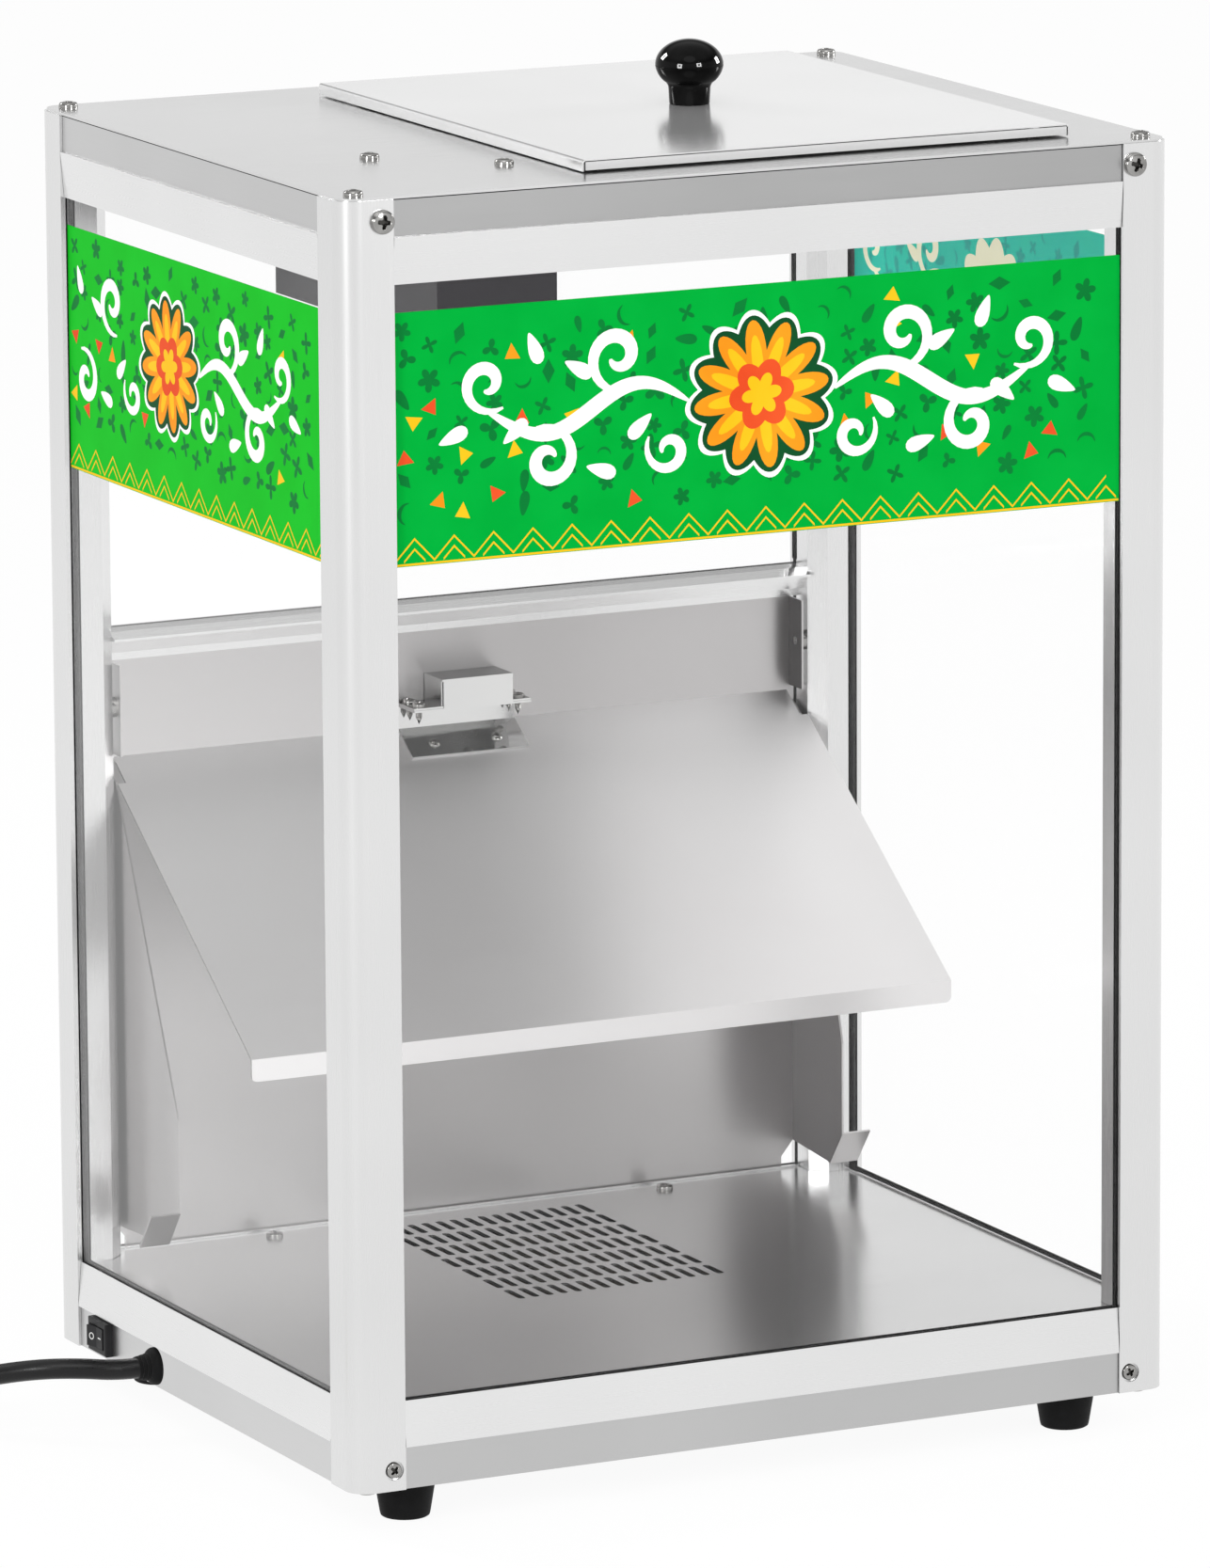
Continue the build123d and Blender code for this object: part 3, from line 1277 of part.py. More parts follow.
nodes["service_door"] = door_piece()
door_outer_y = door_inner_y + door_sheet
nodes["door_knob"] = Pos(0, door_outer_y, door_knob_z) * (Rot(-90, 0, 0) * knob)
nodes["door_knob_screw"] = knob_screw((0, door_inner_y, door_knob_z), (0, 1, 0), knob_screw_length)
nodes["hinge_rail_leaf"] = hinge_rail_leaf_piece()
nodes["hinge_door_leaf"] = hinge_door_leaf_piece()
pin_start = (-hinge_half_length, hinge_y, hinge_z)
nodes["hinge_pin"] = rod(pin_start, (1, 0, 0), hinge_pin_radius, 2 * hinge_half_length)

nodes["floor_plate"] = floor_plate_piece()
nodes["floor_screws"] = floor_screw_group()
nodes["base_pan"] = base_pan_piece()
nodes["fan_frame"] = fan_frame_piece()
nodes["fan_rotor"] = fan_rotor_piece()
nodes["heating_element"] = heating_element_piece()
foot_places = [(sx * foot_x, sy * foot_y) for sx, sy in corners]
nodes["feet"] = group(*[foot_piece(x, y) for x, y in foot_places])
nodes["foot_screws"] = group(*[foot_screw(x, y) for x, y in foot_places])

nodes["switch_housing"] = switch_housing_piece()
nodes["switch_rocker"] = rocker_piece()
nodes["cord_bush"] = bush_piece()
lead, coil, plug_end, plug_heading = cord_pieces()
nodes["power_cord"] = lead
nodes["cord_coil"] = coil
nodes["cord_tie"] = tie_piece()
nodes["plug_body"], nodes["plug_pins"] = plug_pieces(plug_end, plug_heading)

# The finished part's origin is the middle of the object's footprint, on the surface that it stands on,
# with the cord's own pieces left out of the measure.
cord_names = ("cord_bush", "power_cord", "cord_coil", "cord_tie", "plug_body", "plug_pins")
body_box = Compound(children=[copy_of for name, shape in nodes.items() if name not in cord_names
                              for copy_of in shape.solids()]).bounding_box()
middle = (body_box.min + body_box.max) * 0.5
shift = Vector(-middle.X, -middle.Y, -body_box.min.Z)
print("shift", round(shift.X, 3), round(shift.Y, 3), round(shift.Z, 3))

os.makedirs("parts", exist_ok=True)
for name, shape in nodes.items():
    export_step(Pos(shift.X, shift.Y, shift.Z) * shape, f"parts/{name}.step")
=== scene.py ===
import random
from math import atan2, cos, hypot, pi, radians, sin, tan

import bmesh
import bpy
from mathutils import Euler, Matrix, Vector


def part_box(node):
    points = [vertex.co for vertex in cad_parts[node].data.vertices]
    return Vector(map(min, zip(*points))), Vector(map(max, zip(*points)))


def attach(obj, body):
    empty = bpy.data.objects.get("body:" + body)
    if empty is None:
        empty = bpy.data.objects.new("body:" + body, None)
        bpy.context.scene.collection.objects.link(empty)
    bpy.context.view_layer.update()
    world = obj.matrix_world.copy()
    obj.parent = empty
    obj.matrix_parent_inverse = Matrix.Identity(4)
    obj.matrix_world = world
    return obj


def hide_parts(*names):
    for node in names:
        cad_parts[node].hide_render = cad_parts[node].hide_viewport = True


# Counter-top chip warmer: an aluminium and glass cabinet with printed banners, a lift-off lid,
# a tilting rear door, a chute, a fan heater under the floor and a mains lead coiled behind it.
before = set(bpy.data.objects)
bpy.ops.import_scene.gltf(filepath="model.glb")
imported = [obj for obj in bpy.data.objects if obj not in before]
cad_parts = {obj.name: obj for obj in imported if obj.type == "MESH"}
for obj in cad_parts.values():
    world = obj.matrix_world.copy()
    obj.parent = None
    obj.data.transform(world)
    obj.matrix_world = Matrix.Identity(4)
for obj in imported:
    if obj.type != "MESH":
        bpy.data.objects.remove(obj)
scene = bpy.context.scene
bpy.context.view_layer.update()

# Places are written in millimetres from the cabinet's middle, at the underside of its posts.
halfWidth = 215.0
halfDepth = 172.5
postHeight = 605.0
footHeight = 20.8
postSize = 26.2
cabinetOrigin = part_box("post_front_left")[0] + Vector((halfWidth, halfDepth, 0)) / 1000
corners = [(-1, -1), (1, -1), (-1, 1), (1, 1)]


def at(x, y, z):
    return cabinetOrigin + Vector((x, y, z)) / 1000


def placed(origin, outward, turn=0.0):
    # local Z points outward; local units are millimetres
    turned = Vector(outward).to_track_quat("Z", "Y").to_matrix().to_4x4()
    return Matrix.Translation(at(*origin)) @ turned @ Matrix.Rotation(turn, 4, "Z") @ Matrix.Scale(0.001, 4)


# camera ------------------------------------------------------------------------------
cameraLook = {
    "place": (-2330.77, -4759.58, 1362.18),
    "yaw": 28.586,          # degrees, from straight ahead towards the right
    "pitch": 11.701,        # degrees below the horizon
    "roll": 0.153,
    "focalMm": 172.156,
    "sensorMm": 24.0,
    "shift": (-0.3056, 0.0267),
}
cameraData = bpy.data.cameras.new("camera")
cameraData.sensor_fit = "VERTICAL"
cameraData.sensor_height = cameraLook["sensorMm"]
cameraData.lens = cameraLook["focalMm"]
cameraData.shift_x, cameraData.shift_y = cameraLook["shift"]
cameraData.clip_end = 100
camera = bpy.data.objects.new("camera", cameraData)
scene.collection.objects.link(camera)
aim = Euler((radians(90 - cameraLook["pitch"]), 0, -radians(cameraLook["yaw"]))).to_matrix().to_4x4()
camera.matrix_world = (Matrix.Translation(at(*cameraLook["place"])) @ aim
                       @ Matrix.Rotation(radians(cameraLook["roll"]), 4, "Z"))
scene.camera = camera
print("camera ready")


# materials ---------------------------------------------------------------------------
def linear(hexColour):
    channels = [int(hexColour[i:i + 2], 16) / 255 for i in (1, 3, 5)]
    return tuple(c / 12.92 if c <= 0.04045 else ((c + 0.055) / 1.055) ** 2.4 for c in channels) + (1.0,)


def addNode(tree, kind, sockets=None, **settings):
    node = tree.nodes.new("ShaderNode" + kind)
    for name, value in settings.items():
        setattr(node, name, value)
    for name, value in (sockets or {}).items():
        if isinstance(value, bpy.types.NodeSocket):
            tree.links.new(value, node.inputs[name])
        else:
            node.inputs[name].default_value = value
    return node


def newMaterial(name):
    material = bpy.data.materials.new(name)
    material.use_nodes = True
    material.node_tree.nodes.clear()
    return material, material.node_tree, addNode(material.node_tree, "OutputMaterial")


def texturedSurface(name, look):
    # two noises: fine grain for bump and gloss, wide clouds for colour
    material, tree, output = newMaterial(name)
    spot = addNode(tree, "TexCoord").outputs["Object"]
    grainSpot = addNode(tree, "Mapping", {"Vector": spot, "Scale": [1000 / g for g in look["grainMm"]]})
    grain = addNode(tree, "TexNoise", {"Vector": grainSpot.outputs[0], "Scale": 1.0, "Detail": 3.0,
                                       "Roughness": 0.6})
    cloud = addNode(tree, "TexNoise", {"Vector": spot, "Scale": 1000 / look["cloudMm"], "Detail": 3.0})
    blend = addNode(tree, "MapRange", {"Value": cloud.outputs["Fac"], "From Min": 0.35, "From Max": 0.65})
    colour = addNode(tree, "MixRGB", {"Fac": blend.outputs[0], "Color1": linear(look["colour"]),
                                      "Color2": linear(look["shade"])})
    for axis, side, fromX, (lowZ, highZ), paintedShadeTone in look.get("shaded", ()):
        # painted shade: faces turned to one side, right of a place and between two heights in metres, take a darker
        # tone in their colour
        surface = addNode(tree, "NewGeometry")
        facing = addNode(tree, "SeparateXYZ", {0: surface.outputs["Normal"]})
        place = addNode(tree, "SeparateXYZ", {0: surface.outputs["Position"]})
        towards = addNode(tree, "Math", {0: facing.outputs[axis], 1: side}, operation="MULTIPLY")
        turned = addNode(tree, "Math", {0: towards.outputs[0], 1: 0.9}, operation="GREATER_THAN")
        beyond = addNode(tree, "Math", {0: place.outputs["X"], 1: fromX}, operation="GREATER_THAN")
        level = addNode(tree, "Math", {0: place.outputs["Z"], 1: (lowZ + highZ) / 2, 2: (highZ - lowZ) / 2},
                        operation="COMPARE")
        within = addNode(tree, "Math", {0: beyond.outputs[0], 1: level.outputs[0]}, operation="MULTIPLY")
        both = addNode(tree, "Math", {0: turned.outputs[0], 1: within.outputs[0]}, operation="MULTIPLY")
        colour = addNode(tree, "MixRGB", {"Fac": both.outputs[0], "Color1": colour.outputs[0],
                                          "Color2": linear(paintedShadeTone)})
    low, high = look["rough"]
    rough = addNode(tree, "MapRange", {"Value": grain.outputs["Fac"], "From Min": 0.3, "From Max": 0.7,
                                       "To Min": low, "To Max": high})
    bump = addNode(tree, "Bump", {"Height": grain.outputs["Fac"], "Strength": look["bump"],
                                  "Distance": look["bumpMm"] / 1000})
    shader = addNode(tree, "BsdfPrincipled", {
        "Base Color": colour.outputs[0], "Roughness": rough.outputs[0], "Normal": bump.outputs[0],
        "Metallic": look.get("metallic", 0.0), "Coat Weight": look.get("coat", 0.0),
        "Specular IOR Level": look.get("specular", 0.5), "Anisotropic": look.get("brushed", 0.0)})
    if "brushed" in look:
        # reflections spread across the brushing lines
        across = addNode(tree, "CombineXYZ", dict(zip("XYZ", look["across"])))
        tree.links.new(across.outputs[0], shader.inputs["Tangent"])
    tree.links.new(shader.outputs[0], output.inputs["Surface"])
    return material


def metal(name, grainMm, **changes):
    look = {"colour": "#E0E0E0", "shade": "#DCDCDC", "grainMm": grainMm, "cloudMm": 160.0, "rough": (0.24, 0.28),
            "bump": 0.006, "bumpMm": 0.01, "metallic": 1.0}
    look.update(changes)
    return texturedSurface(name, look)


alongX, alongY, alongZ = (45.0, 0.3, 0.3), (0.3, 45.0, 0.3), (0.3, 0.3, 45.0)

# satin anodised extrusions: pale even sheen with faint drawing lines along each bar
anodisedX = metal("anodisedAluminiumAlongX", alongX, colour="#E4E4E4", shade="#E0E0E0")
anodisedY = metal("anodisedAluminiumAlongY", alongY, colour="#E7E7E7", shade="#E3E3E3")
anodisedZ = metal("anodisedAluminiumAlongZ", alongZ)
# the recessed bands are brushed, so they look greyer than the satin faces beside them; their tones also carry painted
# shade, the top bands darker than the bottom ones and the front and rear darker than the sides
bandLook = {"rough": (0.28, 0.36), "bump": 0.08}
bandMetals = {
    "topX": metal("brushedTopBandAlongX", alongX, colour="#ACACAC", shade="#A6A6A6", **bandLook),
    "bottomX": metal("brushedBottomBandAlongX", alongX, colour="#C0C0C0", shade="#BABABA", **bandLook),
    "topY": metal("brushedTopBandAlongY", alongY, colour="#C8C8C8", shade="#C2C2C2", **bandLook),
    "bottomY": metal("brushedBottomBandAlongY", alongY, colour="#D0D0D0", shade="#CACACA", **bandLook),
}
# brushed stainless sheet, its lines along X: reflections smear up and down the sheet
brushedLook = {"cloudMm": 220.0, "bump": 0.05, "brushed": 0.85, "across": (0.0, 1.0, 1.0)}
# painted shade on the chute: its faces turned to -X take darker tones, darkest right of the middle above 0.305 m, and
# its faces turned to the front above 0.22 m, the back wall, a lighter one
chuteSheet = metal("brushedStainlessChute", alongX, colour="#F4F3F3", shade="#EFEDED", rough=(0.36, 0.42),
                   shaded=[("X", -1, -1.0, (0.0, 0.305), "#868484"), ("X", -1, 0.0, (0.305, 1.0), "#5A5858"),
                           ("Y", -1, -1.0, (0.22, 1.0), "#CAC8C8")], **brushedLook)
floorSheet = metal("brushedStainlessFloor", alongX, colour="#EEEEEE", shade="#E6E6E6", rough=(0.2, 0.26),
                   **dict(brushedLook, brushed=0.5))
# the panel is polished on top and left; its faces turned down take a painted shade, much darker
panelX = metal("brushedTopPanel", alongX, colour="#D8D8D8", shade="#D3D3D3", rough=(0.22, 0.28),
               shaded=[("Z", -1, -1.0, (0.0, 1.0), "#5A5A5A")])
lidX = metal("polishedLidSheet", alongX, colour="#E2E2E2", shade="#DCDCDC", rough=(0.15, 0.19), metallic=0.62)
# the lid's tray is painted near-black: painted shade for the hatch seen from below and the gap under the lid's edge
trayX = metal("lidTrayPaintedShade", alongX, colour="#4E4E4E", shade="#464646", rough=(0.3, 0.38))
# painted shade on the door: its faces turned to -X right of the middle are darker
doorX = metal("brushedStainlessDoor", alongX, colour="#CECCCC", shade="#C7C5C5", rough=(0.3, 0.36),
              shaded=[("X", -1, 0.0, (0.0, 1.0), "#8E8C8C")], **dict(brushedLook, brushed=0.6))
# bright rolled sheet with crisp mirror reflections on the catch; its faces turned up take a painted shade, darker
brightSheet = metal("brightRolledSheet", (9.0, 0.8, 0.8), colour="#DCDCDB", shade="#D2D2D2", rough=(0.05, 0.09),
                    bump=0.05, shaded=[("Z", 1, -1.0, (0.0, 1.0), "#7C7C7C")])
# painted steel inside of the lamp box
lampSheet = metal("lampBoxSheet", alongZ, colour="#38363A", shade="#2A282C", rough=(0.16, 0.26), metallic=0.8)
# zinc-plated screws: bright and crisp; the sunken cross takes a dark painted shade
zinc = metal("zincPlate", (1.2, 1.2, 1.2), colour="#A3A2A0", shade="#8E8D8B", cloudMm=6.0, rough=(0.1, 0.18))
recessPaintedShade = metal("screwRecess", (0.6, 0.6, 0.6), colour="#4A4947", shade="#373634", cloudMm=2.0, rough=(0.3, 0.45))
darkSteel = metal("galvanisedPan", (3.0, 3.0, 3.0), colour="#9A9B9C", shade="#85868A", cloudMm=25.0,
                  rough=(0.35, 0.5))
heaterTube = metal("heaterSheath", (2.0, 2.0, 2.0), colour="#6B6259", shade="#4E4741", cloudMm=18.0,
                   rough=(0.4, 0.6))
brass = metal("nickelledBrass", (3.0, 3.0, 0.8), colour="#D8CFB4", shade="#C9BD98", cloudMm=12.0, rough=(0.15, 0.28))

# polished phenolic knob: deep black with sharp highlights and a hint of orange peel
glossBlack = texturedSurface("polishedBlackPhenolic", {
    "colour": "#010101", "shade": "#030303", "grainMm": (5.0, 5.0, 5.0), "cloudMm": 12.0, "rough": (0.04, 0.08),
    "bump": 0.03, "bumpMm": 0.01, "specular": 0.06})
# spark-eroded ABS on the switch, fan and plug
mattBlack = texturedSurface("mattBlackMoulding", {
    "colour": "#131314", "shade": "#18181A", "grainMm": (0.35, 0.35, 0.35), "cloudMm": 10.0, "rough": (0.42, 0.58),
    "bump": 0.4, "bumpMm": 0.03, "specular": 0.3})
# moulded rubber: soft broad highlights, faint bloom
rubber = texturedSurface("mouldedBlackRubber", {
    "colour": "#0E0E0E", "shade": "#141415", "grainMm": (0.5, 0.5, 0.5), "cloudMm": 8.0, "rough": (0.5, 0.68),
    "bump": 0.4, "bumpMm": 0.03, "specular": 0.1})
# soft PVC sheath of the lead: satin, smooth along its length
sheath = texturedSurface("blackPvcSheath", {
    "colour": "#0A0A0B", "shade": "#101011", "grainMm": (1.5, 1.5, 1.5), "cloudMm": 20.0, "rough": (0.26, 0.36),
    "bump": 0.2, "bumpMm": 0.03, "specular": 0.3})
ferrite = texturedSurface("ferriteBlock", {
    "colour": "#2B2B2D", "shade": "#39393B", "grainMm": (0.8, 0.8, 0.8), "cloudMm": 5.0, "rough": (0.45, 0.6),
    "bump": 0.5, "bumpMm": 0.05})
ceramic = texturedSurface("glazedCeramic", {
    "colour": "#E9E6DD", "shade": "#DDD9CE", "grainMm": (3.0, 3.0, 3.0), "cloudMm": 15.0, "rough": (0.12, 0.25),
    "bump": 0.1, "bumpMm": 0.03})
markPaint = texturedSurface("whitePadPrint", {
    "colour": "#EDEDEB", "shade": "#DCDCDA", "grainMm": (0.3, 0.3, 0.3), "cloudMm": 2.0, "rough": (0.4, 0.55),
    "bump": 0.3, "bumpMm": 0.01})


def clearPane(name, tint, mirrorGain, veil, bloom=0.0):
    # clear to the eye and to shadows, with mirror reflections that grow at a slant
    material, tree, output = newMaterial(name)
    spot = addNode(tree, "TexCoord").outputs["Object"]
    haze = addNode(tree, "TexNoise", {"Vector": spot, "Scale": 1000 / 60.0, "Detail": 4.0})
    hazeAmount = addNode(tree, "MapRange", {"Value": haze.outputs["Fac"], "To Min": 0.8 * veil, "To Max": 1.2 * veil})
    if bloom:
        # a milky bloom that thickens towards the bottom
        low = addNode(tree, "MapRange", {"Value": addNode(tree, "SeparateXYZ", {0: spot}).outputs["Z"],
                                         "From Min": 0.36, "From Max": 0.6, "To Min": bloom, "To Max": 0.0})
        hazeAmount = addNode(tree, "Math", {0: hazeAmount.outputs[0], 1: low.outputs[0]}, operation="ADD")
    through = addNode(tree, "BsdfTransparent", {"Color": linear(tint)})
    mirror = addNode(tree, "BsdfGlossy", {"Color": (1, 1, 1, 1), "Roughness": 0.0})
    dust = addNode(tree, "BsdfDiffuse", {"Color": (1, 1, 1, 1)})
    # only the face that a ray enters by reflects, with the share of both faces of the pane
    slant = addNode(tree, "Fresnel", {"IOR": 1.5})
    entered = addNode(tree, "Math", {0: 1.0, 1: addNode(tree, "NewGeometry").outputs["Backfacing"]},
                      operation="SUBTRACT")
    both = addNode(tree, "Math", {0: slant.outputs[0], 1: mirrorGain}, operation="MULTIPLY", use_clamp=True)
    share = addNode(tree, "Math", {0: both.outputs[0], 1: entered.outputs[0]}, operation="MULTIPLY")
    film = addNode(tree, "Math", {0: hazeAmount.outputs[0], 1: entered.outputs[0]}, operation="MULTIPLY")
    pane = addNode(tree, "MixShader", {"Fac": share.outputs[0]})
    tree.links.new(through.outputs[0], pane.inputs[1])
    tree.links.new(mirror.outputs[0], pane.inputs[2])
    dusty = addNode(tree, "MixShader", {"Fac": film.outputs[0]})
    tree.links.new(pane.outputs[0], dusty.inputs[1])
    tree.links.new(dust.outputs[0], dusty.inputs[2])
    shadowRay = addNode(tree, "LightPath").outputs["Is Shadow Ray"]
    shown = addNode(tree, "MixShader", {"Fac": shadowRay})
    tree.links.new(dusty.outputs[0], shown.inputs[1])
    tree.links.new(through.outputs[0], shown.inputs[2])
    tree.links.new(shown.outputs[0], output.inputs["Surface"])
    return material


# float glass: nearly invisible with clean reflections; the left pane has a faint milky bloom,
# and the panes on the far side reflect little on their inside
floatGlass = clearPane("floatGlass", "#FFFFFF", 0.5, 0.006)
coatedGlass = clearPane("coatedFloatGlass", "#FFFFFF", 0.12, 0.006)
bloomedGlass = clearPane("bloomedFloatGlass", "#FFFFFF", 0.45, 0.008, 0.12)
bulbGlass = clearPane("bulbGlass", "#F4F2EC", 1.5, 0.06)


def ink(name, hexColour, shade, glow=0.0):
    # screen ink on film: saturated, a little uneven, under a gloss face
    material = texturedSurface(name, {"colour": hexColour, "shade": shade, "grainMm": (0.6, 0.6, 0.6), "cloudMm": 30.0,
                                      "rough": (0.14, 0.2), "bump": 0.05, "bumpMm": 0.01, "specular": 0.02})
    # a glow is painted light: an emission that stands in for light coming through the film
    if glow:
        shader = next(node for node in material.node_tree.nodes if node.type == "BSDF_PRINCIPLED")
        shader.inputs["Emission Color"].default_value = linear(hexColour)
        shader.inputs["Emission Strength"].default_value = glow
    return material


# the sunlit film on the right has a painted glow on its inside, an emission that stands in for the light coming
# through it; the others have a grey backing
inkColours = {
    "field": ("#00A235", "#02A839"), "fieldBright": ("#06B41C", "#09BA20"), "motif": ("#0C7A34", "#0B7231"),
    "yellow": ("#F0C024", "#EDB81C"), "orange": ("#F39A22", "#EE8C1C"), "red": ("#E3562B", "#DB4A24"),
    "white": ("#F7F7F5", "#F1F1EE"), "deep": ("#14502A", "#124726"), "backing": ("#A6B2AD", "#9FABA6"),
    "reverse": ("#10B6A0", "#16BC9C", 0.42), "reverseMotif": ("#0E9A8C", "#0D9488", 0.4),
    "reversePale": ("#E8E6C8", "#E2E0C0", 0.4),
}
inks = {name: ink("screenInk" + name[0].upper() + name[1:], *tones) for name, tones in inkColours.items()}
inkOrder = list(inks)


def stripedStrap():
    # woven hook-and-loop tape: a fine two-way weave with a soft nap
    material, tree, output = newMaterial("wovenStrap")
    spot = addNode(tree, "TexCoord").outputs["Object"]
    weaveScale = addNode(tree, "Mapping", {"Vector": spot, "Scale": (1000 / 1.1, 1000 / 1.1, 1000 / 1.1)})
    weave = addNode(tree, "TexVoronoi", {"Vector": weaveScale.outputs[0], "Scale": 1.0})
    nap = addNode(tree, "TexNoise", {"Vector": spot, "Scale": 1000 / 0.4, "Detail": 4.0})
    height = addNode(tree, "Math", {0: weave.outputs["Distance"], 1: nap.outputs["Fac"]}, operation="ADD")
    colour = addNode(tree, "MixRGB", {"Fac": nap.outputs["Fac"], "Color1": linear("#17181A"),
                                      "Color2": linear("#2A2B2E")})
    bump = addNode(tree, "Bump", {"Height": height.outputs[0], "Strength": 0.7, "Distance": 0.0003})
    shader = addNode(tree, "BsdfPrincipled", {"Base Color": colour.outputs[0], "Roughness": 0.85,
                                              "Sheen Weight": 0.4, "Normal": bump.outputs[0]})
    tree.links.new(shader.outputs[0], output.inputs["Surface"])
    return material


strapWeave = stripedStrap()
print("materials ready")


# mesh helpers ------------------------------------------------------------------------
def makePiece(bm, name, materials, body, replaced=(), smoothAngle=32):
    bmesh.ops.recalc_face_normals(bm, faces=bm.faces)
    mesh = bpy.data.meshes.new(name)
    bm.to_mesh(mesh)
    bm.free()
    for material in materials:
        mesh.materials.append(material)
    mesh.polygons.foreach_set("use_smooth", [True] * len(mesh.polygons))
    mesh.set_sharp_from_angle(angle=radians(smoothAngle))
    piece = bpy.data.objects.new(name, mesh)
    scene.collection.objects.link(piece)
    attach(piece, body)
    if replaced:
        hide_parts(*replaced)
    return piece


def lathe(bm, profile, place, segments=64):
    # profile is (radius, height) pairs in the place's units
    rings = []
    for radius, height in profile:
        count = segments if radius > 1e-6 else 1
        ring = []
        for index in range(count):
            angle = 2 * pi * index / segments
            ring.append(bm.verts.new(place @ Vector((radius * cos(angle), radius * sin(angle), height))))
        rings.append(ring)
    for low, high in zip(rings, rings[1:]):
        for index in range(segments):
            after = (index + 1) % segments
            corner = [low[index % len(low)], low[after % len(low)], high[after % len(high)], high[index % len(high)]]
            faceCorners = list(dict.fromkeys(corner))
            if len(faceCorners) > 2:
                bm.faces.new(faceCorners)


def arcThrough(a, b, c, steps):
    # points of the circular arc from a through b to c, without c itself
    ax, ay = a
    bx, by = b
    cx, cy = c
    d = 2 * (ax * (by - cy) + bx * (cy - ay) + cx * (ay - by))
    ux = ((ax * ax + ay * ay) * (by - cy) + (bx * bx + by * by) * (cy - ay) + (cx * cx + cy * cy) * (ay - by)) / d
    uy = ((ax * ax + ay * ay) * (cx - bx) + (bx * bx + by * by) * (ax - cx) + (cx * cx + cy * cy) * (bx - ax)) / d
    radius = hypot(ax - ux, ay - uy)
    angles = [atan2(y - uy, x - ux) for x, y in (a, b, c)]
    clockwise = (bx - ax) * (cy - ay) - (by - ay) * (cx - ax) < 0
    sweep = (angles[2] - angles[0]) % (2 * pi)
    if clockwise:
        sweep -= 2 * pi
    return [(ux + radius * cos(angles[0] + sweep * i / steps), uy + radius * sin(angles[0] + sweep * i / steps))
            for i in range(steps)]


def pushOutline(bm, outline, run, materialOf=None):
    # closes an outline's copy at the far end of the run; materialOf maps an edge's number to a material's
    near = [bm.verts.new(point) for point in outline]
    far = [bm.verts.new(point + run) for point in outline]
    for index in range(len(outline)):
        after = (index + 1) % len(outline)
        side = bm.faces.new((near[index], near[after], far[after], far[index]))
        side.material_index = (materialOf or {}).get(index, 0)
    bm.faces.new(list(reversed(near)))
    bm.faces.new(far)


def roundEdges(bm, offsetMm, overAngle=25, segments=2):
    sharp = [edge for edge in bm.edges if edge.calc_face_angle(0) > radians(overAngle)]
    bmesh.ops.bevel(bm, geom=sharp, offset=offsetMm / 1000, offset_type="OFFSET", segments=segments, profile=0.5,
                    affect="EDGES", clamp_overlap=True)


def addSlab(bm, x0, x1, y0, y1, z0, z1):
    outline = [at(x0, y0, z0), at(x1, y0, z0), at(x1, y1, z0), at(x0, y1, z0)]
    pushOutline(bm, outline, Vector((0, 0, (z1 - z0) / 1000)))


# mains lead ----------------------------------------------------------------------------
cordLook = {"diameterMm": 10.0, "lengthMm": 1495.0, "turnsPerLayer": 2.25, "outerRadiusMm": 55.4, "pitchMm": 10.6,
            "pointsPerTurn": 16}
# The lead's route from its bush, in metres in the cabinet's own frame, then its coil's first heading.
cordRoute = [
    (-0.2175, 0.0573, 0.0100),
    (-0.2330, 0.0573, 0.0100),
    (-0.2500, 0.0614, 0.0122),
    (-0.2685, 0.0708, 0.0120),
    (-0.2860, 0.0865, 0.0076),
    (-0.3050, 0.1035, 0.0008),
    (-0.3225, 0.1200, -0.0062),
    (-0.3365, 0.1395, -0.0120),
]
coilCentre = (-407.4, 165.5)
coilStart = radians(20)


def coilPoint(turn, outset=1.0):
    turns = cordLook["turnsPerLayer"]
    depth = turns - abs(turn - turns)
    radius = (cordLook["outerRadiusMm"] - cordLook["pitchMm"] * depth) * outset
    climb = min(max((turn - turns + 0.25) / 0.5, 0), 1)
    angle = coilStart + 2 * pi * turn
    return at(coilCentre[0] + radius * cos(angle), coilCentre[1] + radius * sin(angle),
              -14.5 + cordLook["pitchMm"] * climb)


def coilHeading(turn):
    direction = coilPoint(turn + 0.002) - coilPoint(turn - 0.002)
    direction.z = 0
    return direction.normalized()


cordPoints = [cabinetOrigin + Vector(point) for point in cordRoute]
cordPoints.append(coilPoint(0) - coilHeading(0) * 0.024)
# a quadratic spline cuts inside its control points, so they stand a little outside the turns
outset = 1 / cos(pi / cordLook["pointsPerTurn"])
for step in range(int(2 * cordLook["turnsPerLayer"] * cordLook["pointsPerTurn"]) + 1):
    cordPoints.append(coilPoint(step / cordLook["pointsPerTurn"], outset))
coilEnd = coilPoint(2 * cordLook["turnsPerLayer"])
plugHeading = coilHeading(2 * cordLook["turnsPerLayer"])
plugStart = coilEnd + plugHeading * 0.062
cordPoints.append(coilEnd + plugHeading * 0.02)
cordPoints.append(plugStart + plugHeading * 0.004)

cordCurve = bpy.data.curves.new("mainsLead", "CURVE")
cordCurve.dimensions = "3D"
cordSpline = cordCurve.splines.new("NURBS")
cordSpline.points.add(len(cordPoints) - 1)
for knot, point in zip(cordSpline.points, cordPoints):
    knot.co = (*point, 1)
cordSpline.order_u = 3
cordSpline.use_endpoint_u = True
cordSpline.resolution_u = 6
cordCurve.bevel_depth = cordLook["diameterMm"] / 2000
cordCurve.bevel_resolution = 6
cordCurve.use_fill_caps = True
cordCurve.materials.append(sheath)
mainsLead = bpy.data.objects.new("mainsLead", cordCurve)
scene.collection.objects.link(mainsLead)
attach(mainsLead, "frame")
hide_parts("power_cord", "cord_coil")

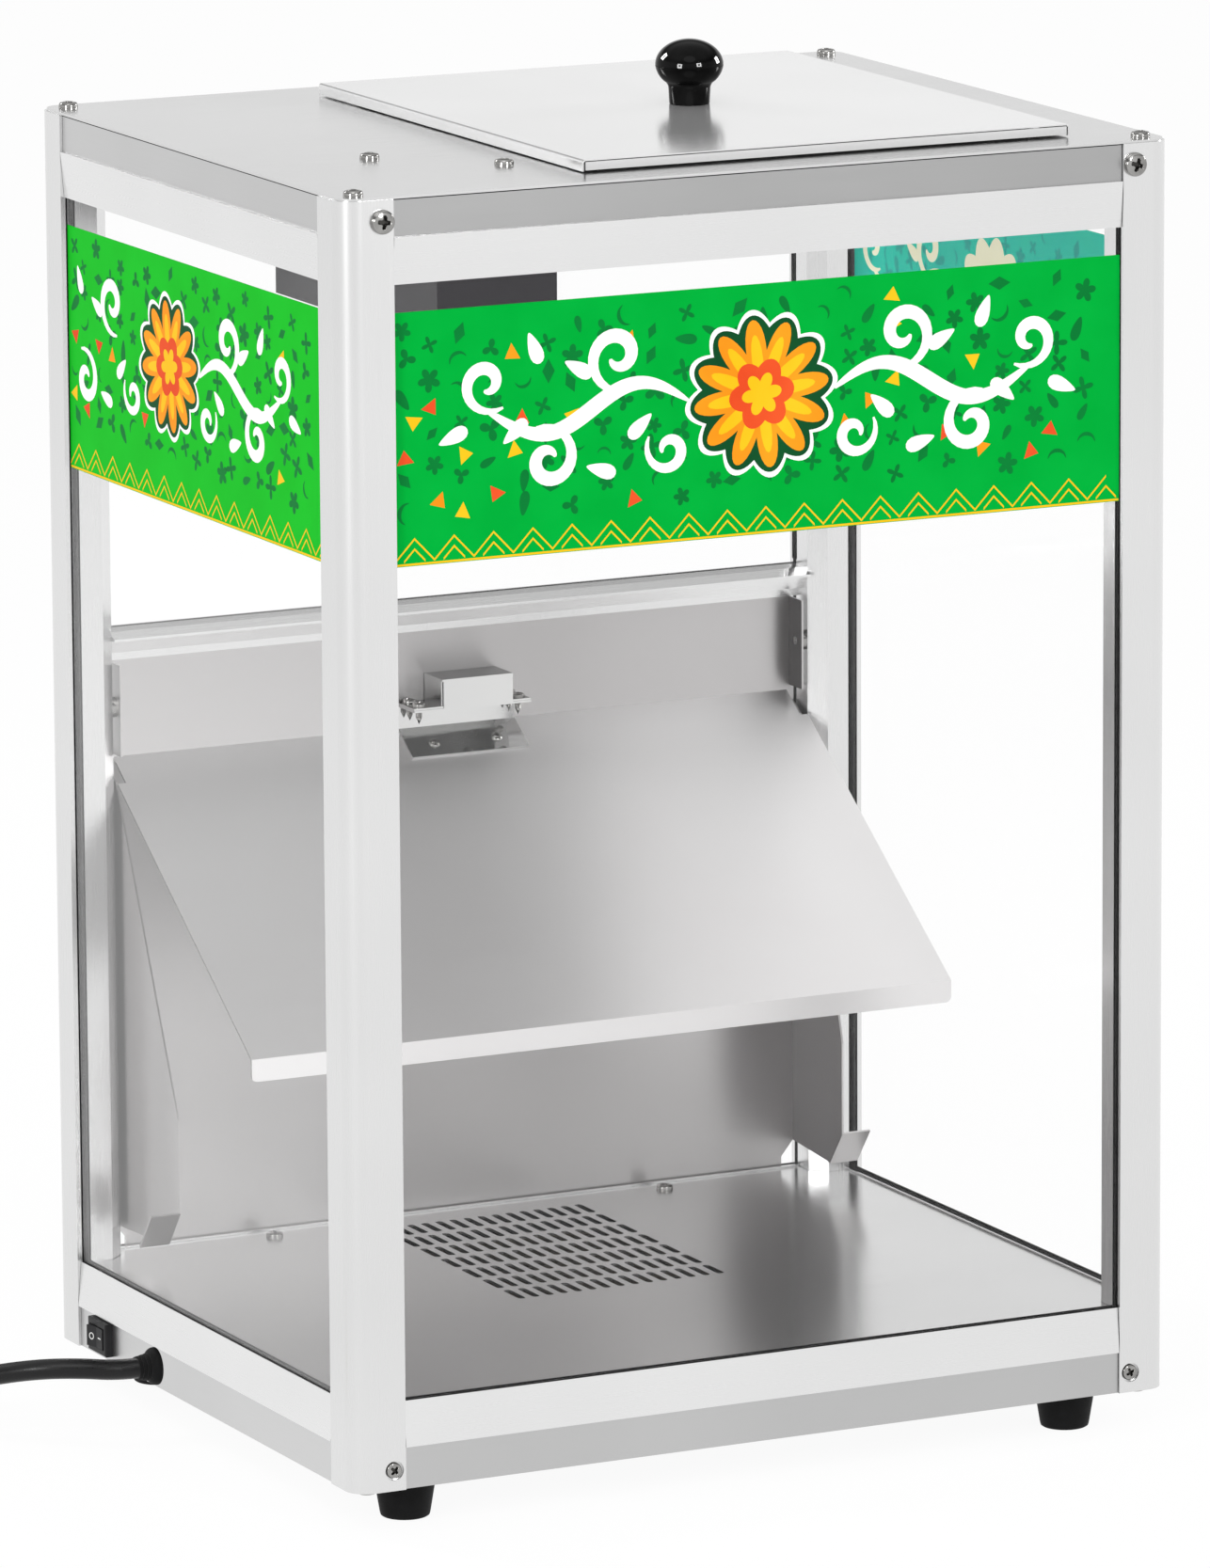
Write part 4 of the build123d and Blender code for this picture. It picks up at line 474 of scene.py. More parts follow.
# moulded strain relief: neck in the rail, domed flange, short ribbed taper over the lead
reliefLook = {"flangeMm": 9.15, "neckMm": 7.6, "boreMm": 5.05, "sleeveMm": 10.5, "ribs": 3}
profile = [(reliefLook["boreMm"], -12), (reliefLook["neckMm"], -12), (reliefLook["neckMm"], 0),
           (reliefLook["flangeMm"], 0)]
profile += arcThrough((reliefLook["flangeMm"], 0.6), (8.5, 2.7), (6.9, 3.9), 8)
profile.append((6.9, 3.9))
ribPitch = (reliefLook["sleeveMm"] - 4.2) / reliefLook["ribs"]
for rib in range(reliefLook["ribs"]):
    base = 4.2 + rib * ribPitch
    wide = 6.7 - rib * 0.4
    profile += [(wide - 0.5, base), (wide, base + 0.4), (wide - 0.1, base + ribPitch * 0.6),
                (wide - 0.6, base + ribPitch * 0.75)]
profile += [(5.6, reliefLook["sleeveMm"]), (reliefLook["boreMm"], reliefLook["sleeveMm"]), (reliefLook["boreMm"], -12)]
bm = bmesh.new()
lathe(bm, profile, placed((-halfWidth + 1.5, 57.3, 10.0), (-1, 0, 0)), 48)
strainRelief = makePiece(bm, "strainRelief", [rubber], "frame", ("cord_bush",))

# plug: ribbed boot, domed shoulder and a grip with shallow rings
plugLook = {"radiusMm": 16.25, "bodyMm": 26.0, "shoulderMm": 15.0, "bootMm": 26.0, "bootRibs": 5}
profile = [(0, 0), (5.4, 0)]
for rib in range(plugLook["bootRibs"]):
    base = 0.4 + rib * 4.6
    wide = 6.6 + rib * 0.44
    profile += [(wide, base + 0.3), (wide + 0.1, base + 2.9), (wide - 0.9, base + 3.2), (wide - 0.9, base + 4.3)]
shoulderFoot = (8.8, plugLook["bootMm"])
shoulderTop = (plugLook["radiusMm"], plugLook["bootMm"] + plugLook["shoulderMm"])
profile += arcThrough(shoulderFoot, (8.8 + 7.5 * 0.62, plugLook["bootMm"] + plugLook["shoulderMm"] * 0.38),
                      shoulderTop, 12)
profile.append(shoulderTop)
for ring in range(4):
    base = shoulderTop[1] + 3.0 + ring * 4.6
    profile += [(16.25, base), (15.7, base + 0.5), (15.7, base + 1.3), (16.25, base + 1.8)]
faceHeight = shoulderTop[1] + plugLook["bodyMm"]
profile += [(16.25, faceHeight - 1.2), (15.9, faceHeight - 0.35), (15.1, faceHeight), (0, faceHeight)]
bm = bmesh.new()
plugTurned = plugHeading.to_track_quat("Z", "Y").to_matrix().to_4x4()
lathe(bm, profile, Matrix.Translation(plugStart) @ plugTurned @ Matrix.Scale(0.001, 4), 72)
plugBody = makePiece(bm, "plugBody", [mattBlack], "frame", ("plug_body",))

# hook-and-loop strap round the coil
strapLook = {"widthMm": 14.0, "thicknessMm": 1.05, "acrossMm": 36.1, "tallMm": 22.1, "cornerMm": 4.6}


def roundedLoop(across, tall, corner, perCorner=6):
    points = []
    for quadrant, (sx, sy) in enumerate(((1, 1), (-1, 1), (-1, -1), (1, -1))):
        for step in range(perCorner + 1):
            angle = pi / 2 * (quadrant + step / perCorner)
            points.append((sx * (across / 2 - corner) + corner * cos(angle),
                           sy * (tall / 2 - corner) + corner * sin(angle)))
    return points


strapAngle = coilStart + radians(135)
strapOut = Vector((cos(strapAngle), sin(strapAngle), 0))
strapAlong = Vector((sin(strapAngle), -cos(strapAngle), 0))
strapMiddle = at(coilCentre[0], coilCentre[1], -9.05) + strapOut * 0.043475
bm = bmesh.new()
loops = []
for grow in (0.5, -0.5):
    size = grow * strapLook["thicknessMm"] * 2
    for side in (-0.5, 0.5):
        loops.append([bm.verts.new(strapMiddle + strapOut * (u / 1000) + Vector((0, 0, v / 1000))
                                   + strapAlong * (side * strapLook["widthMm"] / 1000))
                      for u, v in roundedLoop(strapLook["acrossMm"] + size, strapLook["tallMm"] + size,
                                              strapLook["cornerMm"] + size / 2)])
outerA, outerB, innerA, innerB = loops
for first, second in ((outerA, outerB), (outerB, innerB), (innerB, innerA), (innerA, outerA)):
    for index in range(len(first)):
        after = (index + 1) % len(first)
        bm.faces.new((first[index], first[after], second[after], second[index]))
roundEdges(bm, 0.3, 60, 1)
coilStrap = makePiece(bm, "coilStrap", [strapWeave], "frame", ("cord_tie",))

for piece in (mainsLead, strainRelief, plugBody, coilStrap):
    piece.visible_glossy = False     # the stored coil stays out of the glass and the polished metal
print("mains lead ready")


# rails -----------------------------------------------------------------------------------
railLook = {"depthMm": 24.0, "slopeMm": 22.0, "bandRecessMm": 1.5, "slopeRecessMm": 1.8, "edgeMm": 0.2,
            "jointMm": 0.22, "panelGapMm": 0.55}
glassFront, glassBack = 3.2, 6.6
grooveDepth = 8.0


def railOutline(bandHeight):
    # (depth behind the outer face, distance from the outer edge); the last edge is the recessed band
    top = bandHeight + railLook["slopeMm"]
    ledge = top - 2.2
    lip = glassBack + 1.8
    return [(railLook["bandRecessMm"], 0), (railLook["depthMm"], 0), (railLook["depthMm"], ledge), (lip, ledge),
            (lip, top), (glassBack, top), (glassBack, top - grooveDepth), (glassFront, top - grooveDepth),
            (glassFront, top), (railLook["slopeRecessMm"], top), (0, bandHeight + 0.5), (0, bandHeight),
            (railLook["bandRecessMm"], bandHeight)]


for storey, bandHeight in (("bottom", 20.1), ("top", 17.0)):
    for side in ("front", "rear", "left", "right"):
        outline = []
        for depth, rise in railOutline(bandHeight):
            z = rise if storey == "bottom" else postHeight - railLook["panelGapMm"] - rise
            if side in ("front", "rear"):
                outward = -1 if side == "front" else 1
                outline.append(at(-halfWidth + postSize + railLook["jointMm"], outward * (halfDepth - depth), z))
            else:
                outward = -1 if side == "left" else 1
                outline.append(at(outward * (halfWidth - depth), -halfDepth + postSize + railLook["jointMm"], z))
        bm = bmesh.new()
        if side in ("front", "rear"):
            length = 2 * (halfWidth - postSize - railLook["jointMm"])
            run, finishes = Vector((length / 1000, 0, 0)), [anodisedX, bandMetals[storey + "X"]]
        else:
            length = 2 * (halfDepth - postSize - railLook["jointMm"])
            run, finishes = Vector((0, length / 1000, 0)), [anodisedY, bandMetals[storey + "Y"]]
        pushOutline(bm, outline, run, {len(outline) - 1: 1})
        roundEdges(bm, railLook["edgeMm"])
        makePiece(bm, f"{storey}Rail{side.capitalize()}", finishes, "frame",
                  (f"{storey}_rail_{side}",))
# glazing seals: thin black strips in the mouths of the glass grooves, on both sides of each pane
sealLook = {"outerMm": (2.45, 3.2), "innerMm": (6.6, 7.1), "proudMm": 0.18, "depthMm": 0.5}
innerX, innerY = halfWidth - postSize, halfDepth - postSize
sealBottom, sealTop = 42.1, postHeight - 39.2
rearBottom = (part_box("glass_rear")[0].z - cabinetOrigin.z) * 1000 + grooveDepth
proud, deep = sealLook["proudMm"], sealLook["depthMm"]
bm = bmesh.new()
for near, far in (sealLook["outerMm"], sealLook["innerMm"]):
    for sx, sy in corners:
        addSlab(bm, *sorted((sx * (innerX - proud), sx * (innerX + deep))),
                *sorted((sy * (halfDepth - near), sy * (halfDepth - far))), rearBottom if sy > 0 else sealBottom, sealTop)
        addSlab(bm, *sorted((sx * (halfWidth - near), sx * (halfWidth - far))),
                *sorted((sy * (innerY - proud), sy * (innerY + deep))), sealBottom, sealTop)
        if sy < 0:
            addSlab(bm, *sorted((sx * (halfWidth - near), sx * (halfWidth - far))), -innerY, innerY,
                    sealBottom - deep, sealBottom + proud)
    addSlab(bm, -innerX, innerX, -halfDepth + near, -halfDepth + far, sealBottom - deep, sealBottom + proud)
makePiece(bm, "glazingSeals", [rubber], "frame")
print("rails and seals ready")


# screws ----------------------------------------------------------------------------------
def smoothStep(value):
    value = min(max(value, 0), 1)
    return value * value * (3 - 2 * value)


def crossRecess(x, y, radius, depth):
    across, along = min(abs(x), abs(y)), max(abs(x), abs(y))
    width = radius * 0.13 + max(0, 1 - along / (radius * 0.3)) * radius * 0.1
    return depth * smoothStep((width - across) / (radius * 0.07) + 0.5) * smoothStep(
        (radius * 0.6 - along) / (radius * 0.22))


def addScrew(bm, seat, outward, head, shank, turn, threadMm=0.0, tipMm=0.0):
    headRadius, headHeight = head
    shankRadius, shankLength = shank
    place = placed(seat, outward, turn)
    segments = 64
    rows, sunken = [], set()
    for fraction in [i * 0.035 for i in range(23)] + [0.84, 0.9, 0.95, 0.985, 1.0, 1.0]:
        radius = headRadius * fraction
        if fraction < 0.8:
            crown = headHeight * (1 - 0.16 * (fraction / 0.8) ** 2)
        else:
            crown = headHeight * (0.25 + 0.59 * (1 - ((fraction - 0.8) / 0.2) ** 2) ** 0.5)
        if rows and fraction == 1.0 and len(rows) == 28:
            crown = 0.0
        row = []
        for index in range(segments if radius > 0 else 1):
            angle = 2 * pi * index / segments
            x, y = radius * cos(angle), radius * sin(angle)
            dip = crossRecess(x, y, headRadius, headHeight * 0.7)
            corner = bm.verts.new(place @ Vector((x, y, crown - dip)))
            row.append(corner)
            if dip > headHeight * 0.25:
                sunken.add(corner)
        rows.append(row)
    for inner, outer in zip(rows, rows[1:]):
        for index in range(segments):
            after = (index + 1) % segments
            ringCorners = list(dict.fromkeys([inner[index % len(inner)], outer[index], outer[after],
                                              inner[after % len(inner)]]))
            face = bm.faces.new(ringCorners)
            # faces sunk deep in the cross take the second material, a painted shade
            face.material_index = 1 if sunken.issuperset(ringCorners) else 0
    profile = [(headRadius, 0), (shankRadius, 0)]
    if threadMm:
        for crest in range(int(shankLength / threadMm)):
            base = -crest * threadMm
            profile += [(shankRadius, base - threadMm * 0.4), (shankRadius * 0.8, base - threadMm * 0.75)]
    profile += [(shankRadius * 0.9, -shankLength)]
    profile += [(0, -shankLength - tipMm)]
    lathe(bm, profile, place, 24)


random.seed(4)
portX, portY = halfWidth - 11.2, halfDepth - 11.2
panelTop = postHeight + 1.2
sideX = halfWidth - 20.3
screwSets = {
    "top_panel_screws": [((sx * portX, sy * portY, panelTop), (0, 0, 1), (4.6, 3.0), (1.95, 16.0))
                         for sx, sy in corners]
    + [((x, y, panelTop), (0, 0, 1), (4.6, 3.0), (1.95, 9.0)) for x, y in ((-147.8, -58.8), (-100.6, -104.5))],
    "post_screws_upper": [((sx * sideX, sy * halfDepth, 595.1), (0, sy, 0), (5.7, 3.3), (1.95, 38.2))
                          for sx, sy in corners],
    "post_screws_lower": [((sx * sideX, sy * (halfDepth - 2), 9.7), (0, sy, 0), (3.9, 2.4), (1.95, 36.2))
                          for sx, sy in corners]
    + [((sx * portX, sy * portY, 0), (0, 0, -1), (4.6, 3.0), (1.95, 16.0)) for sx, sy in corners],
    "floor_screws": [((x, 152.5, 41.1), (0, 0, 1), (4.2, 2.6), (2.0, 9.2)) for x in (-107, 107)],
    "foot_screws": [((sx * 175.3, sy * 142.0, -12.3), (0, 0, -1), (4.6, 3.0), (2.4, 21.3)) for sx, sy in corners],
}
for node, places in screwSets.items():
    bm = bmesh.new()
    for seat, outward, head, shank in places:
        addScrew(bm, seat, outward, head, shank, random.uniform(0, pi / 2))
    words = node.split("_")
    makePiece(bm, words[0] + "".join(word.capitalize() for word in words[1:]), [zinc, recessPaintedShade], "frame",
              (node,), 40)
print("screws ready")


# catch: a folded cover with open corner seams, four pointed screws and two blind rivets
catchLook = {"top": 313.1, "seat": 298.7, "left": -16.7, "right": 21.7, "front": 145.1, "rear": 165.9, "sheetMm": 1.0,
             "seamMm": 0.9, "earMm": 31.7, "screwX": 26.9, "screwYs": (161.3, 150.9), "rivetX": 17.0, "rivetY": 155.3}
chuteTilt = radians(34.75)
sheetMm, seamMm = catchLook["sheetMm"], catchLook["seamMm"]
left, right, front, rear = (catchLook[side] for side in ("left", "right", "front", "rear"))
bm = bmesh.new()
addSlab(bm, left, right, front, rear, catchLook["top"] - sheetMm, catchLook["top"])
addSlab(bm, left + seamMm, right - 0.15, front, front + sheetMm, catchLook["seat"], catchLook["top"] - sheetMm)
for inner, outer, ear in ((left + sheetMm, left, -catchLook["earMm"]), (right - sheetMm, right, catchLook["earMm"])):
    low, high = min(inner, outer), max(inner, outer)
    addSlab(bm, low, high, front + sheetMm + 0.5, rear, catchLook["seat"] + sheetMm, catchLook["top"] - sheetMm)
    addSlab(bm, min(inner, ear), max(inner, ear), front + 0.8, rear, catchLook["seat"], catchLook["seat"] + sheetMm)
roundEdges(bm, 0.22, 40)
makePiece(bm, "catchHousing", [brightSheet], "frame", ("catch_housing",))

bm = bmesh.new()
for x in (-catchLook["screwX"], catchLook["screwX"]):
    for y in catchLook["screwYs"]:
        addScrew(bm, (x, y, catchLook["seat"] + sheetMm), (0, 0, 1), (3.4, 2.3), (1.7, 5.6), random.uniform(0, pi / 2),
                 1.1, 3.2)
rivetZ = 170.0 + (catchLook["rivetY"] + 1.8) * tan(chuteTilt)
for x in (-catchLook["rivetX"], catchLook["rivetX"]):
    profile = [(0, -2.4), (1.45, -2.4), (1.45, 1.06), (2.9, 1.06), (2.9, 1.35), (2.5, 1.95), (1.6, 2.3), (0.75, 2.36),
               (0.65, 1.5), (0, 1.5)]
    lathe(bm, profile, placed((x, catchLook["rivetY"], rivetZ), (0, -sin(chuteTilt), cos(chuteTilt))), 32)
makePiece(bm, "catchFixings", [zinc, recessPaintedShade], "frame", ("catch_fixings",), 40)
print("catch ready")


# lid skin: a sheet folded down at both sides, with a separate hem across its front and rear
lidLook = {"centre": (46.5, -2.0), "half": (127.2, 144.7), "bottom": 606.9, "top": 612.3, "sheetMm": 0.6,
           "foldMm": 1.3, "hemTop": 611.3, "hemBottom": 607.4, "hemSheetMm": 0.9}
x0, x1 = (lidLook["centre"][0] + side * lidLook["half"][0] for side in (-1, 1))
y0, y1 = (lidLook["centre"][1] + side * lidLook["half"][1] for side in (-1, 1))
fold, sheetMm = lidLook["foldMm"], lidLook["sheetMm"]
outer = [(x0, lidLook["bottom"])]
for centreX, start in ((x0 + fold, pi), (x1 - fold, pi / 2)):
    outer += [(centreX + fold * cos(start - i * pi / 12), lidLook["top"] - fold + fold * sin(start - i * pi / 12))
              for i in range(7)]
outer.append((x1, lidLook["bottom"]))
inner = [(x1 - sheetMm, lidLook["bottom"]), (x1 - sheetMm, lidLook["top"] - fold),
         (x1 - fold, lidLook["top"] - sheetMm), (x0 + fold, lidLook["top"] - sheetMm),
         (x0 + sheetMm, lidLook["top"] - fold), (x0 + sheetMm, lidLook["bottom"])]
bm = bmesh.new()
pushOutline(bm, [at(x, y0 + 0.25, z) for x, z in outer + inner], Vector((0, (y1 - y0 - 0.5) / 1000, 0)))
hem = bmesh.new()
for low, high in ((y0, y0 + lidLook["hemSheetMm"]), (y1 - lidLook["hemSheetMm"], y1)):
    addSlab(hem, x0 + fold + 0.1, x1 - fold - 0.1, low, high, lidLook["hemBottom"], lidLook["hemTop"])
roundEdges(hem, 0.3)
hemMesh = bpy.data.meshes.new("hem")
hem.to_mesh(hemMesh)
hem.free()
bm.from_mesh(hemMesh)
makePiece(bm, "lidSkin", [lidX], "lid", ("lid_skin",))
print("lid ready")


# knobs and feet --------------------------------------------------------------------------
knobLook = {"heightMm": 31.0, "headMm": 16.3, "girthMm": 18.6, "footMm": 9.7, "neckMm": 10.1, "neckTopMm": 8.0,
            "flare": (12.3, 11.0), "seamMm": 0.3}


def knobProfile():
    height, head, girth = knobLook["heightMm"], knobLook["headMm"], knobLook["girthMm"]
    neck, neckTop, seam, flare = knobLook["neckMm"], knobLook["neckTopMm"], knobLook["seamMm"], knobLook["flare"]
    points = [(2.6, 0), (knobLook["footMm"] - 0.4, 0), (knobLook["footMm"], 0.4)]
    points += arcThrough((neck, neckTop), (neck + 0.72, 9.7), flare, 6)
    points += arcThrough(flare, (head - 1.35, 14.3), (head, girth - 0.2), 14)
    points += [(head, girth - 0.2), (head - seam, girth - 0.12), (head - seam, girth + 0.12)]
    # the dome is half an ellipse above the seam
    steps = 26
    for step in range(steps + 1):
        angle = pi / 2 * step / steps
        points.append((head * cos(angle) if step < steps else 0, girth + 0.2 + (height - girth - 0.2) * sin(angle)))
    return points


knobs = bpy.data.collections.new("knobs")
for name, node, body, origin, outward in (
        ("lidKnob", "lid_knob", "lid", (46.5, -2.0, 612.3), (0, 0, 1)),
        ("doorKnob", "door_knob", "service_door", (0, 168.6, 262.0), (0, 1, 0))):
    bm = bmesh.new()
    lathe(bm, knobProfile(), placed(origin, outward), 96)
    knobs.objects.link(makePiece(bm, name, [glossBlack], body, (node,), 50))

footLook = {"topMm": 15.0, "bottomMm": 11.6, "edgeMm": 1.2}
bm = bmesh.new()
for sx, sy in corners:
    profile = [(2.6, 0), (footLook["topMm"] - 0.4, 0), (footLook["topMm"], -0.4)]
    for step in range(1, 12):
        height = -footHeight * step / 12.5
        profile.append((footLook["topMm"] + (footLook["bottomMm"] - footLook["topMm"]) * -height / footHeight, height))
    profile += [(11.75, -19.6), (11.5, -20.35), (10.8, -footHeight), (6.8, -footHeight), (6.2, -20.2), (6.2, -12.3),
                (2.6, -12.3), (2.6, 0)]
    lathe(bm, profile, placed((sx * 175.3, sy * 142.0, 0), (0, 0, 1)), 64)
makePiece(bm, "feet", [rubber], "frame", ("feet",), 40)
print("knobs and feet ready")


# switch marks ----------------------------------------------------------------------------
def rockerPoint(along, offset, towardsRear):
    # along is measured from the rocker's ridge on one of its two faces
    ridge = Vector((-217.86, 118.457))
    end = Vector((-219.94, 125.235)) if towardsRear else Vector((-217.99, 111.371))
    direction = (end - ridge).normalized()
    outwardSide = Vector((-abs(direction.y), direction.x * (1 if direction.y > 0 else -1)))
    spot = ridge + direction * along + outwardSide * offset
    return spot.x, spot.y


markLook = {"thicknessMm": 0.05, "ringMm": (1.25, 1.75), "barMm": (3.2, 0.62)}
bm = bmesh.new()
ringCount = 40
for inner, outer in (markLook["ringMm"],):
    rows = []
    for radius, lift in ((inner, 0.0), (inner, 1.0), (outer, 1.0), (outer, 0.0)):
        row = []
        for index in range(ringCount):
            angle = 2 * pi * index / ringCount
            x, y = rockerPoint(3.5 + radius * cos(angle), 0.01 + lift * markLook["thicknessMm"], True)
            row.append(bm.verts.new(at(x, y, 11.0 + radius * sin(angle))))
        rows.append(row)
    for first, second in zip(rows, rows[1:]):
        for index in range(ringCount):
            after = (index + 1) % ringCount
            bm.faces.new((first[index], first[after], second[after], second[index]))
length, tall = markLook["barMm"]
outline = []
for along, lift in ((-length / 2, 0.0), (-length / 2, 1.0), (length / 2, 1.0), (length / 2, 0.0)):
    x, y = rockerPoint(3.6 + along, 0.01 + lift * markLook["thicknessMm"], False)
    outline.append(at(x, y, 11.0 - tall / 2))
pushOutline(bm, outline, Vector((0, 0, tall / 1000)))
makePiece(bm, "switchMarks", [markPaint], "switch_rocker")


# banners ---------------------------------------------------------------------------------
bannerLook = {"heightMm": 117.6, "bottomMm": 434.6, "filmMm": 0.3, "motifMm": 4.8, "gridMm": 14.0,
              "zigzagMm": 20.0, "layerMm": 0.02}


def petals(count, inner, outer, sharpness=1.0):
    return [((inner + (outer - inner) * abs(cos(count * angle / 2)) ** sharpness) * cos(angle),
             (inner + (outer - inner) * abs(cos(count * angle / 2)) ** sharpness) * sin(angle))
            for angle in (2 * pi * i / (count * 12) for i in range(count * 12))]


smallMotifs = [
    petals(5, 0.45, 1.0),                                                     # blossom
    petals(4, 0.25, 1.0, 2.0),                                                # star
    [(cos(a) * 0.42 * (1 - 0.35 * sin(a)), sin(a)) for a in (2 * pi * i / 20 for i in range(20))],   # seed
    [(0, -1), (0.55, 0), (0, 1), (-0.55, 0)],                                 # lozenge
    [(sin(a) * 0.9, cos(a) * 0.9) for a in (pi * i / 12 for i in range(13))]
    + [(sin(a) * 0.45 + 0.1, cos(a) * 0.75) for a in (pi * (12 - i) / 12 for i in range(1, 12))],    # crescent
    petals(3, 0.2, 1.0, 1.4),                                                 # trefoil
]
pennant = [(0, 1), (0.85, -0.7), (-0.85, -0.5)]


def moved(points, centre, scale, turn=0.0):
    return [(centre[0] + scale * (x * cos(turn) - y * sin(turn)), centre[1] + scale * (x * sin(turn) + y * cos(turn)))
            for x, y in points]


def ribbon(points, width):
    # a stroke that swells in its middle, as a list of four-cornered patches
    patches = []
    sides = []
    for index, (x, y) in enumerate(points):
        ahead = points[min(index + 1, len(points) - 1)]
        behind = points[max(index - 1, 0)]
        length = hypot(ahead[0] - behind[0], ahead[1] - behind[1])
        nx, ny = -(ahead[1] - behind[1]) / length, (ahead[0] - behind[0]) / length
        half = width / 2 * (0.18 + 0.82 * sin(pi * index / (len(points) - 1)) ** 0.7)
        sides.append(((x + nx * half, y + ny * half), (x - nx * half, y - ny * half)))
    for (a, b), (c, d) in zip(sides, sides[1:]):
        patches.append([a, b, d, c])
    return patches


def spiral(centre, radii, start, turns, width):
    count = 34
    points = []
    for index in range(count):
        t = index / (count - 1)
        radius = radii[0] * (radii[1] / radii[0]) ** t
        angle = start + 2 * pi * turns * t
        points.append((centre[0] + radius * cos(angle), centre[1] + radius * sin(angle)))
    return ribbon(points, width)


def scrollwork(centre, side, size):
    # white scrolls that run out from a rosette to one side; each stroke is a list of patches
    wave = [(34 + 92 * t, 9 * sin(2 * pi * t * 1.05)) for t in (i / 40 for i in range(41))]
    strokes = [ribbon(wave, 7.0), spiral((66, 21), (16, 3.6), -1.9, 1.25, 6.0),
               spiral((98, -20), (15, 3.4), 1.2, 1.25, 6.0), spiral((126, 14), (13, 3.2), -2.2, 1.15, 5.4),
               spiral((43, -20), (11, 3.0), 0.6, -1.15, 4.8)]
    for x, y, turn in ((84, 17, 0.5), (113, -7, -0.7), (56, -9, 2.4), (74, -26, 0.3), (104, 27, 1.2), (141, -7, -0.4)):
        strokes.append([moved([(cos(a), 0.42 * sin(a) * (1 - 0.5 * cos(a))) for a in
                               (2 * pi * i / 18 for i in range(18))], (x, y), 7.0, turn)])
    return [[[(centre[0] + side * size * x, centre[1] + size * y) for x, y in patch] for patch in stroke]
            for stroke in strokes]


def rosette(centre, size):
    layers = [("white", petals(12, 0.90, 1.08)), ("deep", petals(12, 0.84, 1.01)), ("orange", petals(12, 0.55, 0.95)),
              ("yellow", petals(12, 0.30, 0.76, 1.6)), ("red", petals(6, 0.34, 0.46)), ("yellow", petals(6, 0.16, 0.28))]
    shapes = []
    for index, (inkName, outline) in enumerate(layers):
        shapes.append((inkName, index + 4, moved(outline, centre, size, 0.13)))
    return shapes


def chevrons(width, pitch, inset, base, tall, thick):
    # a row of peaks; inset narrows each one inside its pitch
    bars = []
    for tooth in range(int(width / pitch) + 1):
        left, right = tooth * pitch + inset, (tooth + 1) * pitch - inset
        peak = (left + right) / 2
        for x0, y0, x1, y1 in ((left, base, peak, base + tall), (peak, base + tall, right, base)):
            if x1 < width - 0.5:
                bars.append([(x0, y0), (x1, y1), (x1, y1 + thick), (x0, y0 + thick)])
    return bars


def bannerArtwork(width, rosettes, seed):
    dice = random.Random(seed)
    shapes = []
    step = bannerLook["gridMm"]
    for column in range(int(width / step)):
        for row in range(7):
            x = (column + 0.5) * step + dice.uniform(-3, 3)
            y = 24 + row * 14.0 + dice.uniform(-3, 3) + (6 if column % 2 else 0)
            if y > bannerLook["heightMm"] - 7 or x > width - 7:
                continue
            size = bannerLook["motifMm"] * dice.uniform(0.8, 1.25)
            turn = dice.uniform(0, 2 * pi)
            if dice.random() < 0.11:
                shapes.append((dice.choice(["orange", "red", "yellow"]), 2, moved(pennant, (x, y), 4.6, turn)))
            else:
                shapes.append(("motif", 1, moved(dice.choice(smallMotifs), (x, y), size, turn)))
    for centreX, size in rosettes:
        shapes += rosette((centreX, 66), size)
        for side in (-1, 1):
            for number, stroke in enumerate(scrollwork((centreX, 66), side, size / 33)):
                if all(4 < x < width - 4 for patch in stroke for x, y in patch):
                    shapes += [("white", 2.3 + 0.12 * number, patch) for patch in stroke]
    pitch = bannerLook["zigzagMm"]
    for inset, tall in ((0.0, 10.4), (4.6, 5.6)):
        shapes += [("yellow", 2, bar) for bar in chevrons(width, pitch, inset, 1.6, tall, 1.15)]
    shapes.append(("yellow", 1.5, [(0.3, 0.3), (width - 0.3, 0.3), (width - 0.3, 1.3), (0.3, 1.3)]))
    return shapes


reverseInks = {"motif": "reverseMotif", "white": "reversePale"}


def makeBanner(name, node, origin, rightward, outward, width, artwork, field="field", back="backing"):
    # origin is the film's lower corner, at the left when it is seen from outside, on its outer face
    bm = bmesh.new()
    film, tall = bannerLook["filmMm"], bannerLook["heightMm"]
    across, up, out = Vector(rightward), Vector((0, 0, 1)), Vector(outward)

    def spot(u, v, lift):
        return at(*(Vector(origin) + across * u + up * v + out * lift))

    pushOutline(bm, [spot(0, 0, 0), spot(width, 0, 0), spot(width, 0, -film), spot(0, 0, -film)],
                up * tall / 1000, {edge: inkOrder.index(back if edge == 2 else field) for edge in range(4)})
    for inkName, layer, points in artwork:
        front = bm.faces.new([bm.verts.new(spot(u, v, layer * bannerLook["layerMm"])) for u, v in points])
        front.material_index = inkOrder.index(inkName)
        # the figures show through where light does, in inks with a painted glow
        if back == "reverse" and inkName in reverseInks:
            rear = bm.faces.new([bm.verts.new(spot(u, v, -film - layer * 0.01)) for u, v in reversed(points)])
            rear.material_index = inkOrder.index(reverseInks[inkName])
    mesh = bpy.data.meshes.new(name)
    bm.normal_update()
    bm.to_mesh(mesh)
    bm.free()
    for material in inks.values():
        mesh.materials.append(material)
    piece = bpy.data.objects.new(name, mesh)
    scene.collection.objects.link(piece)
    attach(piece, "frame")
    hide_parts(node)
    piece.visible_glossy = False     # no green tint in the metal round it


